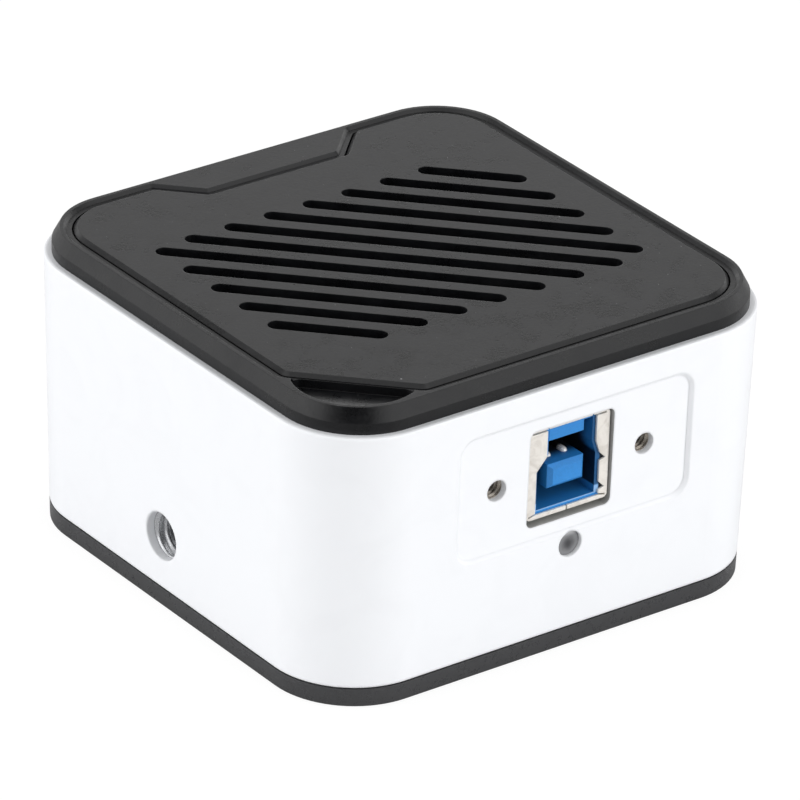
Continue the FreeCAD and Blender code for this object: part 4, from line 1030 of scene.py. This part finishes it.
@dataclass
class ScrewThread:
    """A cut thread that lines a bore."""

    name: str
    mouth: Spot
    axis: Axis
    radius: float
    length: float
    pitch: float
    depth: float
    around: int = 72
    per_turn: int = 14
    gap: float = 0.006 * MM
    least_wall: float = 0.03
    crest: float = 1.25
    steepness: float = 3.2

    def build(self) -> bpy.types.Object:
        """Makes the lining.

        At angle t and distance s along the axis the inner radius is the outer one less
        depth * fade(s) * wave(s / pitch - t / turn), where wave is a clipped triangle and fade
        rises from 0 at both ends over half a pitch. A plain outer wall closes each section
        into a ring.

        Returns:
            The lining, as one closed tube.
        """
        steps = max(8, int(self.length / self.pitch * self.per_turn))
        s = np.linspace(0.0, self.length, steps)
        t = np.linspace(0.0, math.tau, self.around, endpoint=False)
        angle, along = np.meshgrid(t, s, indexing="ij")
        phase = np.mod(along / self.pitch - angle / math.tau, 1.0)
        wave = np.clip(self.crest - np.abs(phase - 0.5) * self.steepness, 0.0, 1.0)
        nearest = np.minimum(along, self.length - along)
        fade = np.clip(nearest / (0.5 * self.pitch), 0.0, 1.0)
        outer = self.radius - self.gap
        inner = outer - self.least_wall * self.depth - self.depth * wave * fade * (2 - fade)
        radii = np.concatenate((inner, np.full((self.around, 2), outer)), axis=1)
        ends = [np.full((self.around, 1), end) for end in (self.length, 0.0)]
        along = np.concatenate((along, *ends), axis=1)
        turn = np.repeat(angle[:, :1], radii.shape[1], axis=1)
        forward, side, across = self.axis.directions()
        grid = (np.array(self.mouth) + along[..., None] * forward
                + (radii * np.cos(turn))[..., None] * side
                + (radii * np.sin(turn))[..., None] * across)
        return Shape.loft(self.name, grid, closed=True)


# Sub-assemblies

@dataclass
class Case:
    """The white housing with its cut threads."""

    paint: CasePaint = CasePaint(
        "white_paint", (0.875, 0.887, 0.912), roughness=0.38, grain_pitch=0.9 * MM,
        grain_height=0.003 * MM, tone_share=0.015, edge_radius=0.45 * MM)
    bare: SheetMetal = SheetMetal(
        "cut_metal", (0.62, 0.63, 0.65), roughness=0.26, metallic=0.8, stretch=EVEN,
        line_pitch=0.3 * MM, grain_height=0.0001 * MM, stain=(0.57, 0.58, 0.6), tone_share=0.02)
    # Brownish nickel, darkened further as painted shade for the depth of the narrow bores.
    shaded_insert: SheetMetal = SheetMetal(
        "nickel_insert", (0.42, 0.385, 0.34), roughness=0.24, metallic=0.8, stretch=EVEN,
        line_pitch=0.12 * MM, grain_height=0.002 * MM, stain=(0.3, 0.22, 0.15))
    tripod_mouth: Spot = (-33.34 * MM, 1.5 * MM, 9.7 * MM)
    tripod_radius: float = 3.175 * MM
    tripod_length: float = 6.7 * MM
    tripod_pitch: float = 1.27 * MM
    tripod_depth: float = 0.62 * MM
    lock_middle: Spot = (1.25 * MM, -33.4 * MM, 24.9 * MM)
    lock_spacing: float = 22.6 * MM
    lock_radius: float = 1.42 * MM
    lock_length: float = 4.4 * MM
    lock_pitch: float = 0.635 * MM
    lock_depth: float = 0.3 * MM

    def build(self) -> None:
        """Finishes the housing and lines its three threaded holes."""
        self.paint.cover("housing")
        tripod = ScrewThread("tripod_thread", self.tripod_mouth, Axis.INTO_X, self.tripod_radius,
                             self.tripod_length, self.tripod_pitch, self.tripod_depth,
                             around=96, per_turn=18)
        Shape.settle(tripod.build(), self.bare, "can_aluminium")
        x, y, z = self.lock_middle
        for side, label in ((-1, "left"), (1, "right")):
            mouth = (x + side * self.lock_spacing / 2, y, z)
            thread = ScrewThread(f"lock_thread_{label}", mouth, Axis.INTO_Y, self.lock_radius,
                                 self.lock_length, self.lock_pitch, self.lock_depth)
            Shape.settle(thread.build(), self.shaded_insert, "plated_steel")


@dataclass
class Cover:
    """The cover's frame and its vent panel."""

    moulding: CoverMoulding = CoverMoulding(
        "black_textured", (0.004, 0.0042, 0.005), roughness=0.31, grain_pitch=0.36 * MM,
        grain_height=0.014 * MM, tone_share=0.3, edge_radius=0.14 * MM, edge_highlight=0.004)

    def build(self) -> None:
        """Finishes the frame and the panel alike."""
        self.moulding.cover("top_frame", "vent_panel")


@dataclass
class Underside:
    """The base plate with the lens mount, its screws and the filter."""

    plate: PlateFinish = PlateFinish(
        "black_anodised", (0.042, 0.0425, 0.0445), roughness=0.32, grain_pitch=0.16 * MM,
        grain_height=0.0005 * MM, tone_share=0.03, edge_radius=0.1 * MM)
    steel: ScrewSteel = ScrewSteel(
        "dark_steel", (0.1, 0.1, 0.105), roughness=0.34, metallic=1.0, grain_height=0.002 * MM,
        edge_radius=0.06 * MM, edge_highlight=0.12)
    thread: SheetMetal = SheetMetal(
        "black_thread", (0.1, 0.1, 0.105), roughness=0.36, metallic=0.6, stretch=EVEN,
        line_pitch=0.15 * MM, grain_height=0.002 * MM, stain=(0.07, 0.07, 0.075), edge_highlight=0.1)
    rubber: Finish = Finish("seal_rubber", (0.02, 0.02, 0.02), roughness=0.7,
                            grain_pitch=0.2 * MM)
    ring: Finish = Finish("ring_black", (0.02, 0.02, 0.022), roughness=0.5,
                          grain_pitch=0.15 * MM)
    glass: CoatedGlass = CoatedGlass("filter_glass", (0.8, 0.93, 0.95), roughness=0.01)
    mount_mouth: Spot = (0.0, 0.0, 0.52 * MM)
    mount_radius: float = 12.7 * MM
    mount_length: float = 4.4 * MM
    mount_pitch: float = 0.794 * MM
    mount_depth: float = 0.4 * MM

    def build(self) -> None:
        """Finishes the plate and what it carries, and lines the lens mount with its thread."""
        self.plate.cover("base_plate")
        self.steel.cover("case_screws")
        self.rubber.cover("filter_seal")
        self.ring.cover("filter_retainer", "sensor_hood")
        self.glass.cover("filter_glass")
        thread = ScrewThread("lens_thread", self.mount_mouth, Axis.INTO_Z, self.mount_radius,
                             self.mount_length, self.mount_pitch, self.mount_depth, around=160)
        Shape.settle(thread.build(), self.thread, "black_anodised")


@dataclass
class DataPort:
    """The nickel shell, the blue moulding and the contacts of the data port."""

    # The shell's pale bends come from a painted highlight: edge_highlight 0.12 over the strong
    # metal edge share.
    shell: SheetMetal = SheetMetal(
        "nickel_shell", (0.9, 0.86, 0.805), roughness=0.4, metallic=0.3, grain_pitch=0.5 * MM,
        grain_height=0.0012 * MM, edge_radius=0.22 * MM, edge_highlight=0.12, tone_share=0.02)
    blue: PortMoulding = PortMoulding(
        "blue_plastic", (0.024, 0.225, 0.6), roughness=0.36, grain_pitch=0.3 * MM,
        grain_height=0.0018 * MM, tone_share=0.07)
    plating: ContactPlating = ContactPlating(
        "contact_plating", (0.95, 0.93, 0.9), roughness=0.3, metallic=0.3,
        stretch=(1.0, 0.1, 1.0), grain_height=0.001 * MM, edge_highlight=0.05,
        stain=(0.8, 0.77, 0.72))
    middle: float = 1.15 * MM
    tongue_top: float = 25.55 * MM
    tongue_under: float = 22.3 * MM
    roof_under: float = 28.83 * MM
    front: float = -31.69 * MM
    length: float = 5.5 * MM
    spring_width: float = 1.0 * MM
    spring_height: float = 0.45 * MM
    spacing: float = 2.5 * MM
    fine_width: float = 0.6 * MM
    fine_height: float = 0.2 * MM
    fine_spacing: float = 1.1 * MM
    fine_count: int = 5
    nose: float = 0.13
    tip: float = 0.004
    nose_rings: int = 14
    shank_rings: int = 8
    shank_step: float = 0.06
    around: int = 28
    squareness: float = 0.8
    sunk: float = 0.05

    def spring(self, x: float, z: float, width: float, height: float) -> Points:
        """Works out one contact: a domed strip whose nose is drawn to a blunt point.

        At share u of the length and angle v round the strip the section is a half-sunk oval,
        (width / 2 * n(u) * cos v, height * n(u) * sin v), with
        n(u) = sqrt(1 - (1 - u / nose) ** 2) up to the nose's end and 1 after it.

        Args:
            x: where the strip's middle is.
            z: the level of the face that it lies on.
            width: how wide the strip is.
            height: how far it stands off the face; below zero it hangs from it.

        Returns:
            The contact's points, by ring and by place in the ring.
        """
        u = np.concatenate((np.linspace(self.tip, self.nose, self.nose_rings),
                            np.linspace(self.nose + self.shank_step, 1.0, self.shank_rings)))
        v = np.linspace(0.0, math.tau, self.around, endpoint=False)
        share, turn = np.meshgrid(u, v, indexing="ij")
        short = 1 - np.minimum(share / self.nose, 1.0)
        narrow = np.sqrt(np.clip(1 - short ** 2, 0.0, 1.0))
        wide = np.sign(np.cos(turn)) * np.abs(np.cos(turn)) ** self.squareness
        rise = np.where(np.sin(turn) > 0, np.sin(turn), self.sunk * np.sin(turn))
        return np.stack((x + 0.5 * width * narrow * wide, self.front + share * self.length,
                         z + height * narrow * rise), axis=-1)

    def build(self) -> None:
        """Finishes the shell and the moulding, and makes the contacts anew with drawn noses."""
        self.shell.cover("port_shell")
        self.blue.cover("port_insulator")
        springs = []
        for side in (-1, 1):
            x = self.middle + side * self.spacing / 2
            for level, way in ((self.tongue_top, 1), (self.tongue_under, -1)):
                springs.append(self.spring(x, level, self.spring_width, way * self.spring_height))
        for index in range(self.fine_count):
            x = self.middle + (index - (self.fine_count - 1) / 2) * self.fine_spacing
            springs.append(self.spring(x, self.roof_under, self.fine_width, -self.fine_height))
        contacts = Shape.loft("contact_springs", *springs)
        Shape.settle(contacts, self.plating, "gold_contact")
        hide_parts("port_contacts")


@dataclass
class StatusLight:
    """The light pipe and the lamp behind it."""

    pipe: MilkyPipe = MilkyPipe(
        "pipe_plastic", (0.22, 0.222, 0.23), grain_height=0.001 * MM, edge_radius=0.1 * MM)
    lamp: Finish = Finish("lamp_plastic", (0.78, 0.78, 0.74), roughness=0.45)

    def build(self) -> None:
        """Finishes the pipe and the lamp."""
        self.pipe.cover("light_pipe")
        self.lamp.cover("status_light")


@dataclass
class Inside:
    """The sensor, the boards, what is on them and the cooling."""

    board: BoardMask = BoardMask("board_green", (0.018, 0.085, 0.04), roughness=0.42,
                                 grain_height=0.003 * MM)
    chip: Finish = Finish("chip_black", (0.028, 0.028, 0.03), roughness=0.55,
                          grain_pitch=0.1 * MM, tone_share=0.15)
    ceramic: Finish = Finish("ceramic", (0.1, 0.09, 0.11), roughness=0.6, grain_pitch=0.12 * MM)
    glass: CoatedGlass = CoatedGlass("clear_glass", (0.93, 0.96, 0.96), roughness=0.01)
    ivory: Finish = Finish("connector_plastic", (0.7, 0.66, 0.56), roughness=0.5)
    ferrite: Finish = Finish("coil_grey", (0.11, 0.11, 0.12), roughness=0.65,
                             grain_pitch=0.1 * MM, tone_share=0.2)
    can: SheetMetal = SheetMetal("can_aluminium", (0.72, 0.72, 0.73), roughness=0.35,
                                 metallic=1.0)
    pad: Finish = Finish("pad_grey", (0.42, 0.44, 0.5), roughness=0.8, grain_pitch=0.3 * MM,
                         tone_share=0.1)
    # Fins nearly as dark as the deep vent slots: partly their own black, partly painted shade.
    fins: Finish = Finish("black_fins", (0.006, 0.006, 0.0065), roughness=0.75,
                          grain_pitch=0.15 * MM, edge_highlight=0.004)
    steel: SheetMetal = SheetMetal("plated_steel", (0.6, 0.59, 0.56), roughness=0.32,
                                   metallic=1.0, stretch=EVEN)
    silicon: SensorSurface = SensorSurface("sensor_silicon", (0.08, 0.08, 0.12), roughness=0.16,
                                           metallic=0.5, grain_height=0.0005 * MM)
    die_level: float = 17.526 * MM
    die_half: Spot = (4.6 * MM, 3.7 * MM, 0.04 * MM)
    die_corner: float = 0.12
    die_around: int = 96
    die_turn: float = 0.001

    def die(self) -> bpy.types.Object:
        """Makes the sensor's die: a plate whose outline is a rounded rectangle.

        The outline at angle v is (half_x * g(cos v), half_y * g(sin v)) with
        g(c) = sign(c) * |c| ** corner, carried straight up through the plate's thickness and
        closed at both faces.

        Returns:
            The die, on the floor of the sensor's package.
        """
        v = np.linspace(0.0, math.tau, self.die_around, endpoint=False) + self.die_turn
        half_x, half_y, thick = self.die_half
        x, y = (np.sign(part) * np.abs(part) ** self.die_corner
                for part in (np.cos(v), np.sin(v)))
        grid = np.stack([np.stack((half_x * x, half_y * y, np.full_like(v, level)), axis=-1)
                         for level in (self.die_level - thick, self.die_level)])
        return Shape.loft("sensor_die", grid, smooth=False)

    def build(self) -> None:
        """Finishes the inner pieces and adds the sensor's die."""
        self.board.cover("main_board", "sensor_board")
        self.chip.cover("processor_chip", "memory_chips", "port_controller")
        self.ceramic.cover("image_sensor")
        self.glass.cover("sensor_glass")
        self.ivory.cover("board_plugs", "board_sockets")
        self.ferrite.cover("power_coils")
        self.can.cover("capacitors")
        self.pad.cover("thermal_pad")
        self.fins.cover("heat_spreader")
        self.steel.cover("main_standoffs", "board_screws", "sensor_spacers", "sensor_screws",
                         "spreader_posts", "spreader_screws")
        Shape.settle(self.die(), self.silicon, "ceramic")


# Studio

@dataclass(frozen=True)
class SoftBox:
    """One large soft lamp that faces the object and is not mirrored in it."""

    name: str
    place: Spot
    power: float
    size: Band = (1.0, 0.48)
    target: Spot = (0.0, 0.0, 0.02)

    def build(self) -> None:
        """Puts the lamp in the scene."""
        light = bpy.data.lights.new(self.name, "AREA")
        light.shape = "RECTANGLE"
        light.size, light.size_y = self.size
        light.energy = self.power
        lamp = bpy.data.objects.new(self.name, light)
        lamp.location = self.place
        lamp.visible_glossy = False
        way = Vector(self.target) - Vector(self.place)
        lamp.rotation_euler = way.to_track_quat("-Z", "Y").to_euler()
        bpy.context.scene.collection.objects.link(lamp)


@dataclass
class Studio:
    """The camera, the white floor, the lamps and the surroundings."""

    camera_place: Spot = (-495.18 * MM, -658.47 * MM, 447.26 * MM)
    camera_turn: Spot = (62.5545, -1.5267, -36.1910)
    lens: float = 333.15
    sensor_width: float = 36.0
    nearest: float = 0.01
    lamps: tuple[SoftBox, ...] = (
        SoftBox("left_box", (-0.96, 0.47, 0.25), 6.5),
        SoftBox("right_box", (0.47, -0.96, 0.26), 6.35),
    )
    # What the surroundings send, by the height or the side that a ray goes to.
    ambient_band: Band = (0.1, 0.9)
    ambient: Band = (0.5, 0.9)
    low_band: Band = (0.28, 0.48)
    low_gloss: Band = (1.3, 0.26)
    top_band: Band = (0.5, 0.75)
    top_gloss: float = 0.95
    box_sides: tuple[Spot, ...] = ((-0.915, 0.181, 0.361), (0.202, -0.888, 0.414))
    box_band: Band = (0.88, 0.98)
    box_gloss: float = 0.65
    camera_side: Spot = (-0.533, -0.708, 0.46)
    camera_band: Band = (0.7, 0.94)
    camera_share: float = 0.1
    floor_half: float = 3.0
    floor_level: float = -0.2 * MM
    floor_tone: Colour = (0.75, 0.75, 0.75)
    floor_glow: float = 1.06
    floor_glow_share: float = 0.88
    # The floor in reflections, dimmer where it lies on the camera's side of the object.
    mirror_way: Band = (-0.6, -0.8)
    mirror_band: Band = (0.06, 0.12)
    mirror_far: Colour = (0.54, 0.54, 0.54)
    mirror_near: Colour = (0.26, 0.26, 0.26)

    def camera(self) -> None:
        """Sets the camera where the photograph was taken from."""
        data = bpy.data.cameras.new("camera")
        data.lens = self.lens
        data.sensor_width = self.sensor_width
        data.clip_start = self.nearest
        camera = bpy.data.objects.new("camera", data)
        camera.location = self.camera_place
        camera.rotation_euler = Euler([math.radians(part) for part in self.camera_turn])
        bpy.context.scene.collection.objects.link(camera)
        bpy.context.scene.camera = camera

    def world(self) -> None:
        """Makes surroundings that look white, light most from above and mirror dimly in front."""
        world = bpy.data.worlds.new("surroundings")
        bpy.context.scene.world = world
        world.use_nodes = True
        world.node_tree.nodes.clear()
        wiring = Wiring(world.node_tree)
        way = wiring.add("TexCoord").outputs["Generated"]
        height = wiring.split(way)[2]
        gloss = wiring.plus(wiring.ramp(height, *self.low_band, *self.low_gloss),
                            wiring.ramp(height, *self.top_band, 0.0, self.top_gloss))
        toward = wiring.facing(way, self.camera_side)
        gloss = wiring.times(gloss, wiring.ramp(toward, *self.camera_band, 1.0, self.camera_share))
        for side in self.box_sides:
            near = wiring.ramp(wiring.facing(way, side), *self.box_band, 0.0, self.box_gloss)
            gloss = wiring.plus(gloss, near)
        ambient = wiring.ramp(height, *self.ambient_band, *self.ambient)
        path = wiring.add("LightPath").outputs
        plain = wiring.sum("MAXIMUM", path["Is Camera Ray"], path["Is Transmission Ray"])
        strength = wiring.choose(path["Is Glossy Ray"], ambient, gloss)
        strength = wiring.choose(plain, strength, 1.0)
        background = wiring.add("Background", {"Color": WHITE, "Strength": strength})
        wiring.put(wiring.add("OutputWorld").inputs["Surface"], background.outputs[0])

    def floor(self) -> None:
        """Makes the floor: pale, with the object's shadow, and white where it is seen."""
        ends = (-self.floor_half, self.floor_half)
        x, y = np.meshgrid(ends, ends, indexing="ij")
        points = np.stack((x, y, np.full_like(x, self.floor_level)), axis=-1).reshape(-1, 3)
        floor = Shape.solid("floor", points.tolist(), [[0, 2, 3, 1]], smooth=False)
        material = bpy.data.materials.new("floor_white")
        material.use_nodes = True
        material.node_tree.nodes.clear()
        wiring = Wiring(material.node_tree)
        path = wiring.add("LightPath").outputs
        x, y, _ = wiring.split(wiring.own_place())
        nearer = wiring.plus(*(wiring.times(part, share)
                               for part, share in zip((x, y), self.mirror_way)))
        mirrored = wiring.mix(wiring.ramp(nearer, *self.mirror_band), self.mirror_far,
                              self.mirror_near)
        tone = wiring.mix(path["Is Glossy Ray"], self.floor_tone, mirrored)
        paper = wiring.add("BsdfDiffuse", {"Color": tone})
        glow = wiring.add("Emission", {"Color": WHITE, "Strength": self.floor_glow})
        share = wiring.times(path["Is Camera Ray"], self.floor_glow_share)
        blend = wiring.add("MixShader", {0: share, 1: paper.outputs[0], 2: glow.outputs[0]})
        wiring.put(wiring.add("OutputMaterial").inputs["Surface"], blend.outputs[0])
        floor.data.materials.append(material)

    def build(self) -> None:
        """Sets up the whole studio."""
        bpy.context.scene.view_settings.view_transform = "Standard"
        self.camera()
        self.world()
        self.floor()
        for lamp in self.lamps:
            lamp.build()
        log.info("studio with %d lamps", len(self.lamps))


def main() -> None:
    """Builds the studio and then each sub-assembly in turn."""
    logging.basicConfig(level=logging.INFO, format="%(name)s: %(message)s")
    Studio().build()
    for part in (Case(), Cover(), Underside(), DataPort(), StatusLight(), Inside()):
        part.build()
        log.info("%s done", type(part).__name__)


if __name__ == "__main__":
    main()
